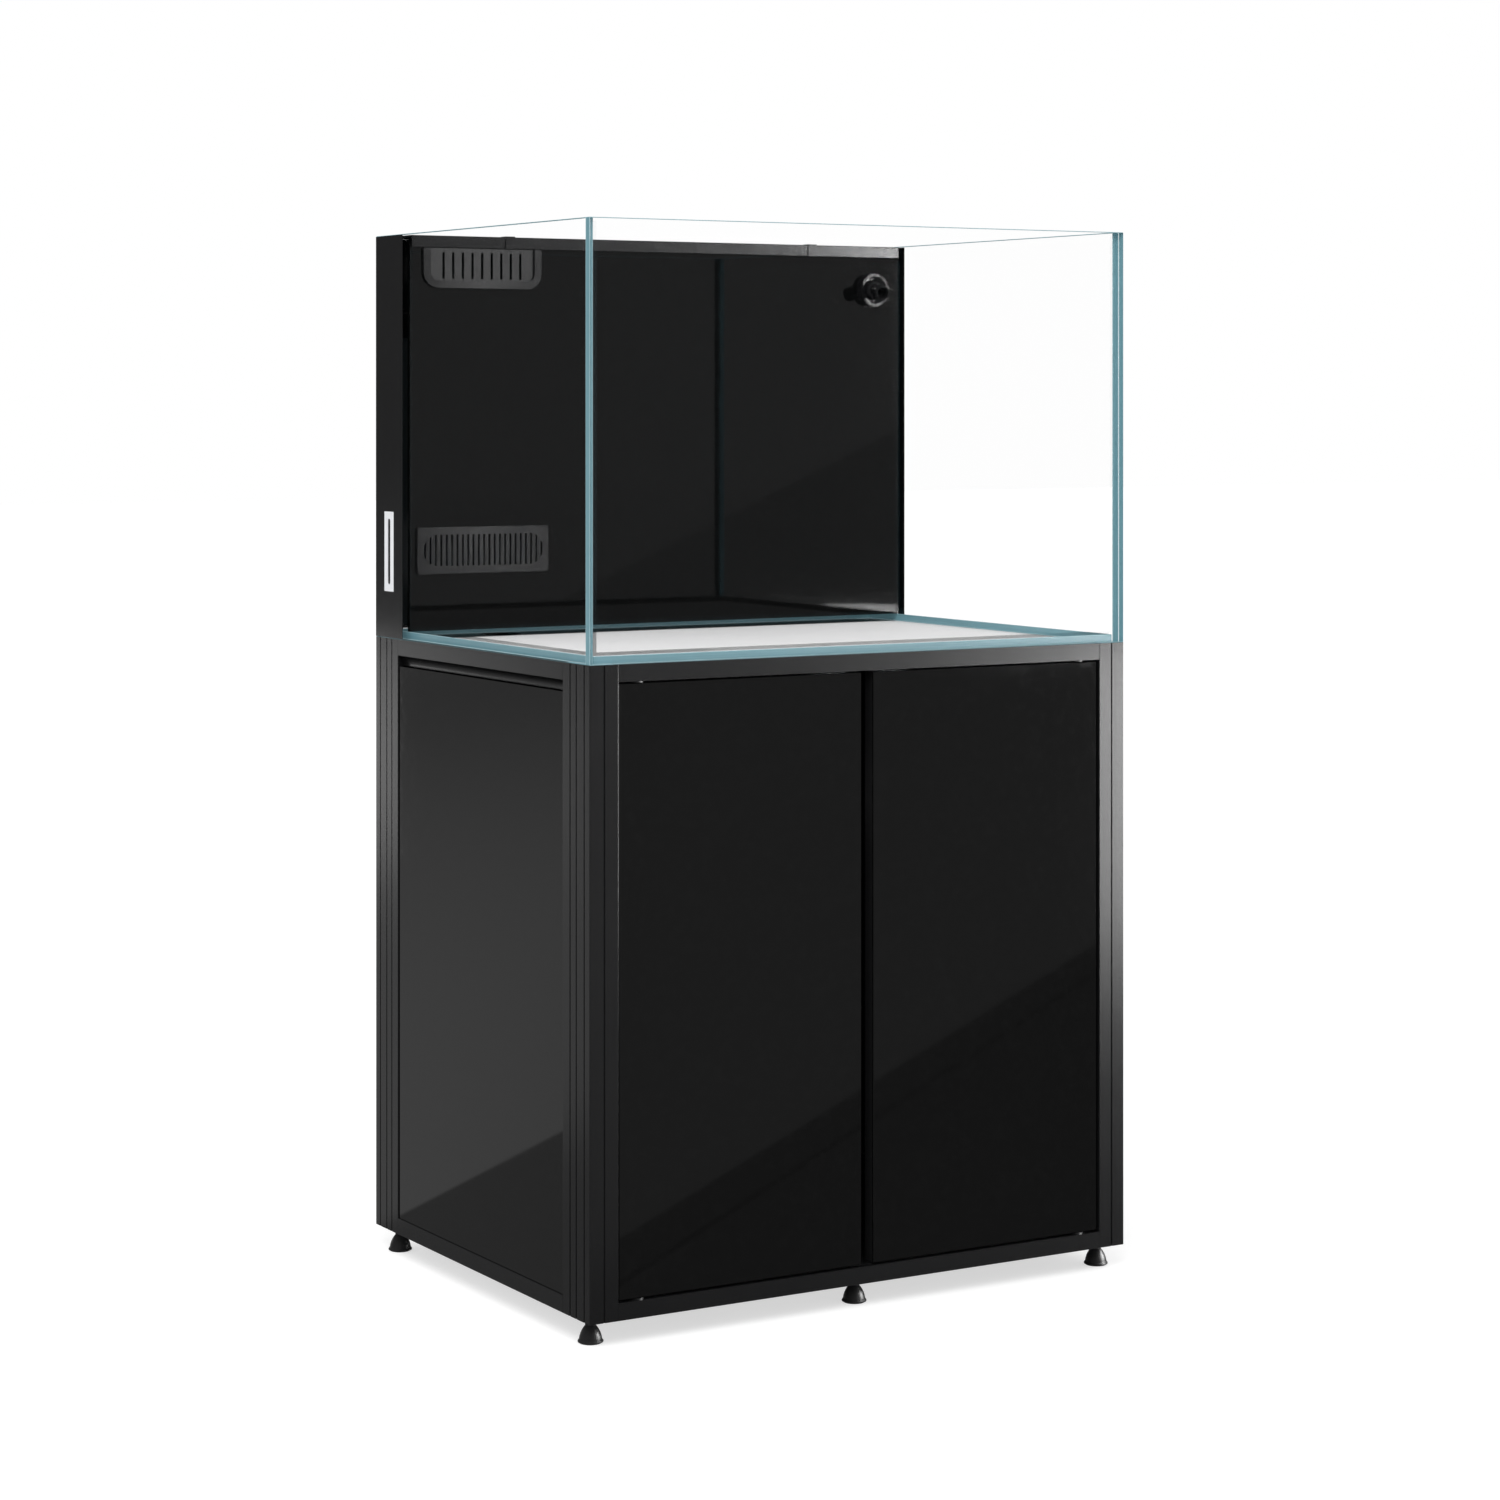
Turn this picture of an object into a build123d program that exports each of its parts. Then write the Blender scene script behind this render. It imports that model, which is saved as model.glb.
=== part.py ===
"""Rimless reef aquarium with a black rear filter chamber, on an aluminium-framed cabinet.

Millimetres, +Z up, front towards -Y, origin on the floor under the middle of the footprint.
Every physical piece is its own STEP file in parts/.
"""
import os
from math import pi

from build123d import *

# Overall sizes
tank_width = 750.0
tank_depth = 574.0
tank_height = 508.0
stand_height = 746.0
foot_height = 29.0

# Glass
glass = 10.0
arris = 0.8
bead = 4.0

# Rear chamber
chamber_depth = 63.2
partition_t = 6.0
baffle_t = 5.0
left_bay = 216.0
pump_bay = 200.0
overflow_step = 60.0
underflow_gap = 60.0
notch_margin = 8.0
film_t = 0.4

# Lid of the rear chamber
lid_t = 3.0
lid_drop = 1.0
lid_side_gap = 1.5
lid_rear_gap = 2.0
lid_edge = 0.8
lip_height = 15.0
lip_t = 2.5
lip_gap = 0.5
cable_notch_width = 36.0
cable_notch_depth = 14.0
cable_notch_inset = 48.0
grip_width = 13.0
grip_spread = 452.0
grip_proud = 1.2
vent_slot_length = 40.0
vent_slot_width = 5.0
vent_slot_pitch = 12.0
vent_slot_count = 7

# Overflow comb
comb_width = 165.9
comb_inset = 17.4
comb_drop = 66.6
comb_edge = 4.0
comb_bow = 1.5
comb_floor = 1.0
comb_corner = 20.0
comb_frame = 9.6
comb_slots = 9
comb_pitch = 13.54
comb_slot = 3.4
comb_slot_height = 33.0
comb_slot_rise = 2.2
comb_lip_gap = 0.5
window_margin = 14.0
window_height = 37.0
spigot_depth = 1.5
spigot_wall = 1.6
spigot_gap = 0.2
bow_spare = 3.0

# Lower intake grille
grille_width = 184.3
grille_height = 58.5
grille_inset = 8.8
grille_centre = 111.0
grille_edge = 4.0
grille_bow = 1.5
grille_wall = 2.4
grille_corner = 4.0
grille_slots = 23
grille_pitch = 7.455
grille_slot = 2.5
grille_field_height = 39.0
grille_field_extra = 1.6
intake_width = 172.0
intake_height = 43.0

# Return outlet
return_inset = 44.6
return_drop = 59.8
collar_d = 44.3
collar_length = 11.8
collar_rim = 1.1
collar_groove = 1.2
collar_groove_depth = 1.4
collar_edge = 0.4
collar_mouth_d = 37.6
thread_d = 29.6
return_bore = 30.0
thread_spare = 3.0
nut_flats = 38.0
nut_t = 8.0
nut_gap = 0.1
ball_d = 28.0
ball_set_back = 5.5
ball_gap = 0.3
ball_lip = 3.5
root_d = 16.0
root_forward = 8.0
ball_flat = 11.5
ball_bore = 9.0
neck_d = 10.0
neck_length = 5.5
neck_bore = 6.0
spout_root_at = 10.0
spout_taper = 5.0
spout_root_d = 18.0
spout_d = 20.0
spout_bore = 15.0
spout_bore_depth = 16.0
spout_reach = 38.7
spout_edge = 1.4
nozzle_pan = 12.6
nozzle_tilt = 9.2
water_bore = 12.0

# Return pump and its hose
hose_od = 24.0
hose_bore = 18.0
barb_d = 18.4
barb_length = 16.0
hose_gap = 0.02
hose_stop = 2.0
elbow_drop = 15.0
pump_width = 92.0
pump_depth = 50.0
pump_height = 66.0
pump_corner = 8.0
pump_edge = 2.5
pump_fins = 5
pump_fin = 3.0
pump_fin_pitch = 9.0
pump_fin_length = 38.0
pump_fin_depth = 1.2
pump_foot_inset = 4.0
pump_foot_d = 14.0
pump_foot_h = 6.0
volute_d = 46.0
inlet_d = 34.0
inlet_length = 12.0
inlet_wall = 2.5
inlet_slots = 10
gland_d = 10.0
gland_length = 8.0
gland_inset = 26.0

# Filter media basket
basket_gap = 4.0
basket_wall = 3.0
basket_corner = 5.0
basket_margin = 12.0
basket_slot_rise = 20.0
basket_foot_d = 10.0
basket_height = 360.0
basket_slots = 7
basket_slot = 10.0
basket_slot_height = 150.0
basket_foot = 8.0
sponge_height = 250.0
handle_height = 34.0
handle_rod = 8.0

# Water level window in the left side film
sight_width = 26.7
sight_height = 100.5
sight_slit = 7.0
sight_slit_height = 83.0
sight_inset = 40.2
sight_centre = 109.3
sight_t = 0.6
sight_corner = 1.0

# Extruded posts
post_width = 37.3
post_depth = 65.6
post_wall = 2.8
post_edge = 0.8
groove = 2.4
groove_depth = 1.2
front_groove_at = 18.65
side_grooves_at = (13.3, 32.5, 47.5)

# Rails
rail_height = 20.0
rail_wall = 2.6
lip = 9.0
board_t = 6.0
board_gap = 0.3
cove_height = 13.0
cove_depth = 8.0
cove_web = 4.0
beam_width = 40.0

# Rear plate of the stand's top
cable_hole_d = 54.0
cable_hole_x = -219.0
lift_hole_d = 15.0
lift_hole_x = -281.0
grommet_wall = 2.5
grommet_rim = 5.0
grommet_rim_t = 1.5

# Panels and doors
panel_t = 6.0
panel_recess = 1.5
panel_gap = 1.0
door_recess = 3.0
door_gap = 2.2
centre_gap = 17.0
door_face_t = 3.0
door_core_t = 16.0
door_edge = 0.6
pivot_inset = 26.0
pin_d = 8.0
pin_grip = 18.0
pin_reach = 10.0
pin_gap = 0.05
bush_wall = 3.0
bush_flange_d = 20.0
bush_flange_t = 1.8
strike_width = 40.0
strike_height = 14.0
strike_t = 1.5
magnet_width = 46.0
magnet_height = 14.0
magnet_depth = 12.0
magnet_gap = 0.3
magnet_inset = 12.0
port_d = 60.0
port_x = 210.0
port_z = 560.0
rear_vent_slots = 9
rear_vent_length = 90.0
rear_vent_width = 6.0
rear_vent_pitch = 15.0
rear_vent_z = 250.0

# Corner brackets
bracket_leg = 42.0
bracket_width = 23.0
bracket_t = 4.0
bracket_rib = 4.0
bracket_offset = 11.7

# Levelling feet
foot_d = 29.6
foot_base_d = 25.2
foot_rim_low = 1.4
foot_rim_high = 2.6
foot_dome_d = 26.6
foot_dome_low = 4.6
foot_dome_high = 20.0
foot_shoulder_d = 22.4
foot_neck_d = 12.4
stem_d = 10.0
stem_length = 34.0
thread_gap = 0.05
insert_height = 26.0
insert_gap = 0.1
flat_nut_d = 26.0

# Derived planes
half_w = tank_width / 2
half_d = tank_depth / 2
stand_base = foot_height
stand_top = foot_height + stand_height
rim = stand_top + tank_height
floor_z = stand_top + glass
inner_x = half_w - glass
inner_y = half_d - glass
chamber_y = inner_y - chamber_depth
partition_y = chamber_y - partition_t
lid_top = rim - lid_drop
partition_top = lid_top - lid_t
lip_bottom = lid_top - lip_height
left_baffle_x = left_bay - inner_x
right_baffle_x = inner_x - pump_bay - baffle_t
post_x = half_w - post_width
post_y = half_d - post_depth
top_seat = stand_top - board_t
base_top = stand_base + rail_height
base_seat = base_top - board_t
door_top = stand_top - rail_height - door_gap
door_bottom = base_top + door_gap
door_front = door_recess - half_d
door_join = door_front + door_face_t
door_back = door_join + door_core_t
door_outer = post_x - door_gap
pivot_x = door_outer - pivot_inset
pivot_y = (door_front + door_back) / 2
foot_x = half_w - post_width / 2
foot_y = half_d - post_depth / 2
chamber_middle = (chamber_y + inner_y) / 2
sight_y = half_d - sight_inset
sight_z = stand_top + sight_centre


def block(x0, x1, y0, y1, z0, z1):
    """Box between two corners."""
    return Pos((x0 + x1) / 2, (y0 + y1) / 2, (z0 + z1) / 2) * Box(x1 - x0, y1 - y0, z1 - z0)


def rod_z(x, y, z0, z1, radius):
    """Upright cylinder from z0 to z1."""
    return Pos(x, y, (z0 + z1) / 2) * Cylinder(radius, z1 - z0)


def rod_y(x, z, y0, y1, radius):
    """Cylinder along Y from y0 to y1."""
    return Pos(x, (y0 + y1) / 2, z) * Rot(90, 0, 0) * Cylinder(radius, y1 - y0)


def upright(sketch, z0, z1):
    """Sketch drawn in X and Y, raised from z0 to z1."""
    return Pos(0, 0, z0) * extrude(sketch, z1 - z0)


def across(sketch, y0, y1):
    """Sketch drawn in X and Z, carried along Y from y0 to y1."""
    plane = Plane(origin=(0, y0, 0), x_dir=(1, 0, 0), z_dir=(0, -1, 0))
    return extrude(plane * sketch, y0 - y1)


def slot_row(count, pitch, width, height, x, y):
    """Sketch of a row of equal slots about a centre."""
    row = Sketch()
    for i in range(count):
        row += Pos(x + (i - (count - 1) / 2) * pitch, y) * Rectangle(width, height)
    return row


def mirrored_x(shape):
    """Copy on the other side of the middle plane, left to right."""
    return mirror(shape, about=Plane.YZ)


def mirrored_y(shape):
    """Copy on the other side of the middle plane, front to rear."""
    return mirror(shape, about=Plane.XZ)


def save(name, shape):
    """Write one piece."""
    export_step(shape, os.path.join("parts", name + ".step"))


# Display tank

def pane(x0, x1, y0, y1, z0, z1):
    """Sheet of glass with a small arris ground on every edge."""
    sheet = block(x0, x1, y0, y1, z0, z1)
    return chamfer(sheet.edges(), arris)


def corner_bead(x, y, z0, z1):
    """Three-sided silicone bead standing in a vertical inside corner."""
    leg_x = -bead if x > 0 else bead
    leg_y = -bead if y > 0 else bead
    section = make_face(Polyline((x, y), (x + leg_x, y), (x, y + leg_y), close=True))
    return upright(section, z0, z1)


def floor_bead_x(y):
    """Bead along the floor from side to side, against the sheet at y."""
    leg = -bead if y > 0 else bead
    plane = Plane(origin=(-inner_x, 0, 0), x_dir=(0, 1, 0), z_dir=(1, 0, 0))
    section = make_face(Polyline((y, floor_z), (y + leg, floor_z), (y, floor_z + bead), close=True))
    return extrude(plane * section, 2 * inner_x)


def floor_bead_y(x):
    """Bead along the floor from front to partition, against the side pane at x."""
    leg = -bead if x > 0 else bead
    section = make_face(Polyline((x, floor_z), (x + leg, floor_z), (x, floor_z + bead), close=True))
    return across(section, -inner_y, partition_y)


def silicone_seams():
    """One continuous bead round the floor of the display and up its four corners."""
    seams = floor_bead_x(-inner_y) + floor_bead_x(partition_y)
    for x in (-inner_x, inner_x):
        seams += floor_bead_y(x)
        seams += corner_bead(x, -inner_y, floor_z, rim - bead)
        seams += corner_bead(x, partition_y, floor_z, lip_bottom - bead)
    return seams


def build_tank():
    """Five panes and their silicone."""
    save("front_pane", pane(-half_w, half_w, -half_d, -inner_y, stand_top, rim))
    save("rear_pane", pane(-half_w, half_w, inner_y, half_d, stand_top, rim))
    side = pane(-half_w, -inner_x, -inner_y, inner_y, stand_top, rim)
    save("left_pane", side)
    save("right_pane", mirrored_x(side))
    save("bottom_pane", pane(-inner_x, inner_x, -inner_y, inner_y, stand_top, floor_z))
    save("silicone_seams", silicone_seams())


# Rear chamber

comb_x = -inner_x + comb_inset + comb_width / 2
comb_bottom = rim - comb_drop
comb_top = lip_bottom - comb_lip_gap
comb_slot_z = comb_bottom + comb_frame + comb_slot_rise + comb_slot_height / 2
window_width = comb_width - 2 * window_margin
window_z = comb_slot_z
grille_x = -inner_x + grille_inset + grille_width / 2
grille_z = stand_top + grille_centre
return_x = inner_x - return_inset
return_z = rim - return_drop


def partition():
    """Black sheet between display and chamber, cut for the comb, the intake and the return."""
    sheet = block(-inner_x, inner_x, partition_y, chamber_y, floor_z, partition_top)
    window = Pos(comb_x, window_z) * Rectangle(window_width, window_height)
    intake = Pos(grille_x, grille_z) * Rectangle(intake_width, intake_height)
    outlet = Pos(return_x, return_z) * Circle(return_bore / 2)
    return sheet - across(window + intake + outlet, partition_y - 1, chamber_y + 1)


def baffles():
    """Two black baffles: water steps over the left one and dives under the right one."""
    rear = inner_y - film_t
    left = block(left_baffle_x, left_baffle_x + baffle_t, chamber_y, rear, floor_z, partition_top)
    notch_y = (chamber_y + rear) / 2
    notch_half = (rear - chamber_y) / 2 - notch_margin
    notch = block(left_baffle_x - 1, left_baffle_x + baffle_t + 1, notch_y - notch_half,
                  notch_y + notch_half, partition_top - overflow_step, partition_top + 1)
    right = block(right_baffle_x, right_baffle_x + baffle_t, chamber_y, rear,
                  floor_z + underflow_gap, partition_top)
    return Compound([left - notch, right])


def chamber_film():
    """Black film on the side panes beside the chamber and inside the rear pane."""
    z0 = stand_top + arris
    z1 = rim - arris
    left = block(-half_w - film_t, -half_w, partition_y, half_d - arris, z0, z1)
    right = mirrored_x(left)
    rear = block(-inner_x, inner_x, inner_y - film_t, inner_y, floor_z, partition_top)
    opening = block(-half_w - film_t - 1, -half_w + 1, sight_y - sight_width / 2,
                    sight_y + sight_width / 2, sight_z - sight_height / 2,
                    sight_z + sight_height / 2)
    return Compound([left - opening, right, rear])


def sight_window():
    """Flat white bezel round a narrow slit that shows the water level in the chamber."""
    x0 = -half_w - sight_t
    bezel = block(x0, -half_w, sight_y - sight_width / 2, sight_y + sight_width / 2,
                  sight_z - sight_height / 2, sight_z + sight_height / 2)
    bezel = fillet(bezel.edges().filter_by(Axis.X), sight_corner)
    slit = Plane(origin=(x0 - 1, sight_y, sight_z), x_dir=(0, 1, 0), z_dir=(1, 0, 0))
    opening = extrude(slit * SlotOverall(sight_slit_height, sight_slit, rotation=90), sight_t + 2)
    return bezel - opening


def chamber_lid():
    """Lift-off lid: a flat plate with a lip in front, cable notches behind and a row of vents."""
    x1 = inner_x - lid_side_gap
    front = partition_y - lip_gap
    rear = inner_y - film_t - lid_rear_gap
    plate = block(-x1, x1, front - lip_t, rear, partition_top, lid_top)
    plate += block(-x1, x1, front - lip_t, front, lip_bottom, lid_top)
    for side in (-1, 1):
        x = side * (x1 - cable_notch_inset)
        plate -= block(x - cable_notch_width / 2, x + cable_notch_width / 2,
                       rear - cable_notch_depth, rear + 1, partition_top - 1, lid_top + 1)
    middle = (chamber_y + rear) / 2
    vents = slot_row(vent_slot_count, vent_slot_pitch, vent_slot_width, vent_slot_length, 0, middle)
    plate -= upright(vents, partition_top - 1, lid_top + 1)
    top_front = plate.edges().filter_by(Axis.X).sort_by(Axis.Y)[0:2]
    return fillet(top_front, lid_edge)


def lid_grips():
    """Two small tabs clipped over the lid's front lip, to lift it by."""
    front = partition_y - lip_gap - lip_t
    grips = []
    for side in (-1, 1):
        x = side * grip_spread / 2
        face = block(x - grip_width / 2, x + grip_width / 2, front - grip_proud, front,
                     lip_bottom, lid_top + lid_drop)
        top = block(x - grip_width / 2, x + grip_width / 2, front, front + grip_width,
                    lid_top, lid_top + lid_drop)
        grips.append(face + top)
    return Compound(grips)


def lens(x, cover_width, edge, crown, z0, z1, shift=0.0):
    """Upright bar, wider than its cover, with a flat back and a bowed front; shift moves it back."""
    half_width = cover_width / 2 + bow_spare
    back = partition_y + shift
    side = back - edge
    sides = Polyline((x - half_width, side), (x - half_width, back), (x + half_width, back),
                     (x + half_width, side))
    bow = ThreePointArc((x - half_width, side), (x, back - crown), (x + half_width, side))
    return upright(make_face(sides + bow), z0, z1)


def spigot(width, height, x, z):
    """Low rim behind a cover that locates it in the partition, and the outline of its bore."""
    bore = Pos(x, z) * Rectangle(width - 2 * spigot_wall, height - 2 * spigot_wall)
    outer = Pos(x, z) * Rectangle(width - 2 * spigot_gap, height - 2 * spigot_gap)
    return across(outer - bore, partition_y, partition_y + spigot_depth), bore


def overflow_comb():
    """Surface-water comb: a bowed U-shaped rim round a sunk field with a row of upright slots."""
    crown = comb_edge + comb_bow
    front = partition_y - crown - 1
    rear = partition_y + spigot_depth
    middle = (comb_bottom + comb_top) / 2
    outline = Pos(comb_x, middle) * Rectangle(comb_width, comb_top - comb_bottom)
    outline = fillet(outline.vertices().sort_by(Axis.Y)[:2], comb_corner)
    cover = lens(comb_x, comb_width, comb_edge, crown, comb_bottom - 1, comb_top + 1)
    cover = cover & across(outline, front, rear)
    field_bottom = comb_bottom + comb_frame
    field_top = comb_top + 1
    field = Pos(comb_x, (field_bottom + field_top) / 2) * Rectangle(
        comb_width - 2 * comb_frame, field_top - field_bottom)
    field = fillet(field.vertices().sort_by(Axis.Y)[:2], comb_corner - comb_frame)
    cover -= across(field, front, partition_y - comb_floor)
    plug_size = (window_width - 2 * spigot_gap, window_height - 2 * spigot_gap)
    cover += across(Pos(comb_x, window_z) * Rectangle(*plug_size), partition_y, rear)
    slots = slot_row(comb_slots, comb_pitch, comb_slot, comb_slot_height, comb_x, comb_slot_z)
    return cover - across(slots, front, rear + 1)


def intake_grille():
    """Bowed intake cover whose upright slots fill an oval field."""
    crown = grille_edge + grille_bow
    front = partition_y - crown - 1
    rear = partition_y + grille_wall + 1
    z0 = grille_z - grille_height / 2 - 1
    z1 = grille_z + grille_height / 2 + 1
    outline = Pos(grille_x, grille_z) * RectangleRounded(grille_width, grille_height, grille_corner)
    cover = lens(grille_x, grille_width, grille_edge, crown, z0, z1) & across(outline, front, rear)
    ring, bore = spigot(intake_width, intake_height, grille_x, grille_z)
    duct = lens(grille_x, grille_width, grille_edge, crown, z0, z1, grille_wall)
    cover -= duct & across(bore, front, rear)
    field_length = (grille_slots - 1) * grille_pitch + grille_slot + grille_field_extra
    field = Pos(grille_x, grille_z) * SlotOverall(field_length, grille_field_height)
    slots = slot_row(grille_slots, grille_pitch, grille_slot, grille_field_height, grille_x, grille_z)
    cover -= across(slots & field, front, rear)
    return cover + ring


def build_chamber():
    """Partition, baffles, film, lid and the two covers that water passes through."""
    save("partition", partition())
    save("chamber_baffles", baffles())
    save("chamber_film", chamber_film())
    save("sight_window", sight_window())
    save("chamber_lid", chamber_lid())
    save("lid_grips", lid_grips())
    save("overflow_comb", overflow_comb())
    save("intake_grille", intake_grille())


# Return outlet, pump and media

def turned(*points):
    """Revolve points, as radius and distance behind the partition's face, about the outlet's axis."""
    plane = Plane(origin=(return_x, partition_y, return_z), x_dir=(1, 0, 0), z_dir=(0, 0, 1))
    face = plane * make_face(Polyline(*points, close=True))
    return revolve(face, Axis((return_x, partition_y, return_z), (0, 1, 0)), 360)


ball_at = ball_set_back - collar_length
thread_end = partition_t + nut_t + thread_spare
tail_y = partition_y + thread_end
hose_y = chamber_middle
barb_top = return_z - elbow_drop
hose_top = barb_top - hose_stop


def return_bulkhead():
    """Stepped collar with a conical mouth and a ball socket in front, and a thread behind."""
    outer = collar_d / 2
    groove_outer = outer - collar_rim
    groove_inner = groove_outer - collar_groove
    front = -collar_length
    groove_floor = front + collar_groove_depth
    lip_at = ball_at - ball_lip
    body = turned((0, front), (groove_inner, front), (groove_inner, groove_floor),
                  (groove_outer, groove_floor), (groove_outer, front), (outer - collar_edge, front),
                  (outer, front + collar_edge), (outer, 0), (thread_d / 2, 0),
                  (thread_d / 2, thread_end), (0, thread_end))
    body -= turned((0, lip_at), (ball_d / 2 - 0.5, lip_at), (collar_mouth_d / 2, front),
                   (collar_mouth_d / 2, front - 1), (0, front - 1))
    body -= Pos(return_x, partition_y + ball_at, return_z) * Sphere(ball_d / 2 + ball_gap)
    return body - rod_y(return_x, return_z, partition_y + ball_at, tail_y + 1, water_bore / 2)


def return_nut():
    """Hexagon nut that pulls the collar tight from behind."""
    ring = RegularPolygon(nut_flats / 2, 6, major_radius=False) - Circle(thread_d / 2 + nut_gap)
    return across(Pos(return_x, return_z) * ring, chamber_y, chamber_y + nut_t)


def elbow_run(radius, tail, low):
    """Rod that runs back from the thread and turns down at a mitre as far as low."""
    level = rod_y(return_x, return_z, tail, hose_y + radius, radius)
    drop = rod_z(return_x, hose_y, low, return_z + radius, radius)
    mitre = Plane(origin=(return_x, hose_y, return_z), x_dir=(1, 0, 0), z_dir=(0, 1, -1))
    return split(level, mitre, keep=Keep.BOTTOM) + split(drop, mitre, keep=Keep.TOP)


def return_elbow():
    """Elbow behind the nut that turns down into a hose barb."""
    outside = elbow_run(barb_d / 2, tail_y, hose_top)
    barb = rod_z(return_x, hose_y, hose_top - barb_length, hose_top + 1, hose_bore / 2 - hose_gap)
    return outside + barb - elbow_run(water_bore / 2, tail_y - 1, hose_top - barb_length - 1)


pump_floor = floor_z + pump_foot_h
pump_top = pump_floor + pump_height
outlet_top = pump_top + barb_length
hose_bottom = pump_top + hose_stop


def return_hose():
    """Straight silicone hose from the pump's outlet up to the elbow."""
    tube = rod_z(return_x, hose_y, hose_bottom, hose_top, hose_od / 2)
    return tube - rod_z(return_x, hose_y, hose_bottom - 1, hose_top + 1, hose_bore / 2)


def return_pump():
    """Submersible pump: rounded motor block, outlet, slotted inlet cage, four feet, cable gland."""
    x1 = return_x + volute_d / 2
    x0 = x1 - pump_width
    y0 = hose_y - pump_depth / 2
    body = block(x0, x1, y0, y0 + pump_depth, pump_floor, pump_top)
    body = fillet(body.edges().filter_by(Axis.Z), pump_corner)
    body = chamfer(body.faces().sort_by(Axis.Z)[-1].edges(), pump_edge)
    body += rod_z(return_x, hose_y, pump_top - 1, outlet_top, hose_bore / 2 - hose_gap)
    body += rod_z(return_x, hose_y, pump_top - 1, hose_bottom, hose_od / 2)
    body -= rod_z(return_x, hose_y, pump_top - barb_length, outlet_top + 1, water_bore / 2)
    inlet_z = pump_floor + pump_height / 2
    lie = Rot(0, 90, 0)
    cage = Pos(x0 - inlet_length / 2, hose_y, inlet_z)
    body += cage * lie * Cylinder(inlet_d / 2, inlet_length)
    body -= cage * Pos(1, 0, 0) * lie * Cylinder(inlet_d / 2 - inlet_wall, inlet_length - 2)
    slot_width = pi * inlet_d / inlet_slots / 2.4
    cutter = Pos(1, 0, 0) * Box(inlet_length - 2 * inlet_wall, slot_width, inlet_d + 2)
    for i in range(inlet_slots // 2):
        body -= cage * Rot(360 / inlet_slots * i, 0, 0) * cutter
    fin_x = (x0 + x1 - volute_d) / 2
    for i in range(pump_fins):
        z = inlet_z + (i - (pump_fins - 1) / 2) * pump_fin_pitch
        body -= block(fin_x - pump_fin_length / 2, fin_x + pump_fin_length / 2, y0 - 1, y0 + pump_fin_depth,
                      z - pump_fin / 2, z + pump_fin / 2)
    inset = pump_foot_d / 2 + pump_foot_inset
    for x in (x0 + inset, x1 - inset):
        for y in (y0 + inset, y0 + pump_depth - inset):
            body += rod_z(x, y, floor_z, pump_floor, pump_foot_d / 2)
    return body + rod_z(x0 + gland_inset, hose_y, pump_top - 1, pump_top + gland_length, gland_d / 2)


def outlet_ball():
    """Swivelling ball, drawn about its centre: flat in front, with a socket for the spout's root."""
    ball = Sphere(ball_d / 2)
    ball -= block(-ball_d, ball_d, -ball_d, -ball_flat, -ball_d, ball_d)
    ball -= Pos(0, -root_forward, 0) * Sphere(root_d / 2 + ball_gap)
    return ball - rod_y(0, 0, -root_forward, ball_d, ball_bore / 2)


def outlet_spout():
    """Spout, drawn about its root's centre: root ball, waist, swelling body, chamfered mouth."""
    reach = spout_reach - root_forward
    waist = neck_d / 2
    profile = Polyline((0, 0), (waist, 0), (waist, -neck_length), (spout_root_d / 2, -spout_root_at),
                       (spout_d / 2, spout_taper - reach), (spout_d / 2, spout_edge - reach),
                       (spout_d / 2 - spout_edge, -reach), (0, -reach), close=True)
    body = revolve(make_face(profile), Axis.Y, 360) + Sphere(root_d / 2)
    body -= rod_y(0, 0, -reach - 1, spout_bore_depth - reach, spout_bore / 2)
    return body - rod_y(0, 0, -reach, root_d, neck_bore / 2)


aim = Pos(return_x, partition_y + ball_at, return_z) * Rot(0, 0, -nozzle_pan)
spout_aim = aim * Pos(0, -root_forward, 0) * Rot(nozzle_tilt, 0, 0)


def build_return():
    """Outlet fitting, its two ball-jointed pieces, the elbow, the hose and the pump."""
    save("return_bulkhead", return_bulkhead())
    save("return_nut", return_nut())
    save("return_elbow", return_elbow())
    save("return_hose", return_hose())
    save("return_pump", return_pump())
    save("outlet_ball", aim * outlet_ball())
    save("outlet_spout", spout_aim * outlet_spout())


def media_basket():
    """Open-topped filter basket with a slotted front and floor, four feet and a bail handle."""
    x0 = -inner_x + basket_gap
    x1 = left_baffle_x - basket_gap
    y0 = chamber_y + basket_gap
    y1 = inner_y - film_t - basket_gap
    z0 = floor_z + basket_foot
    z1 = z0 + basket_height
    body = block(x0, x1, y0, y1, z0, z1)
    body = fillet(body.edges().filter_by(Axis.Z), basket_corner)
    body -= block(x0 + basket_wall, x1 - basket_wall, y0 + basket_wall, y1 - basket_wall,
                  z0 + basket_wall, z1 + 1)
    middle = (x0 + x1) / 2
    middle_y = (y0 + y1) / 2
    pitch = (x1 - x0 - 2 * basket_margin) / basket_slots
    slots_z = z0 + basket_slot_rise + basket_slot_height / 2
    front_slots = slot_row(basket_slots, pitch, basket_slot, basket_slot_height, middle, slots_z)
    body -= across(front_slots, y0 - 1, y0 + basket_wall + 1)
    floor_length = y1 - y0 - 2 * (basket_corner + basket_wall)
    floor_slots = slot_row(basket_slots, pitch, basket_slot, floor_length, middle, middle_y)
    body -= upright(floor_slots, z0 - 1, z0 + basket_wall + 1)
    inset = basket_corner + basket_wall
    for x in (x0 + inset, x1 - inset):
        for y in (y0 + inset, y1 - inset):
            body += rod_z(x, y, floor_z, z0 + 1, basket_foot_d / 2)
    half = handle_rod / 2
    for x in (x0, x1 - basket_wall):
        body += block(x, x + basket_wall, middle_y - half, middle_y + half, z1 - 1, z1 + handle_height)
    body += block(x0, x1, middle_y - half, middle_y + half, z1 + handle_height - basket_wall,
                  z1 + handle_height)
    return body


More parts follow.
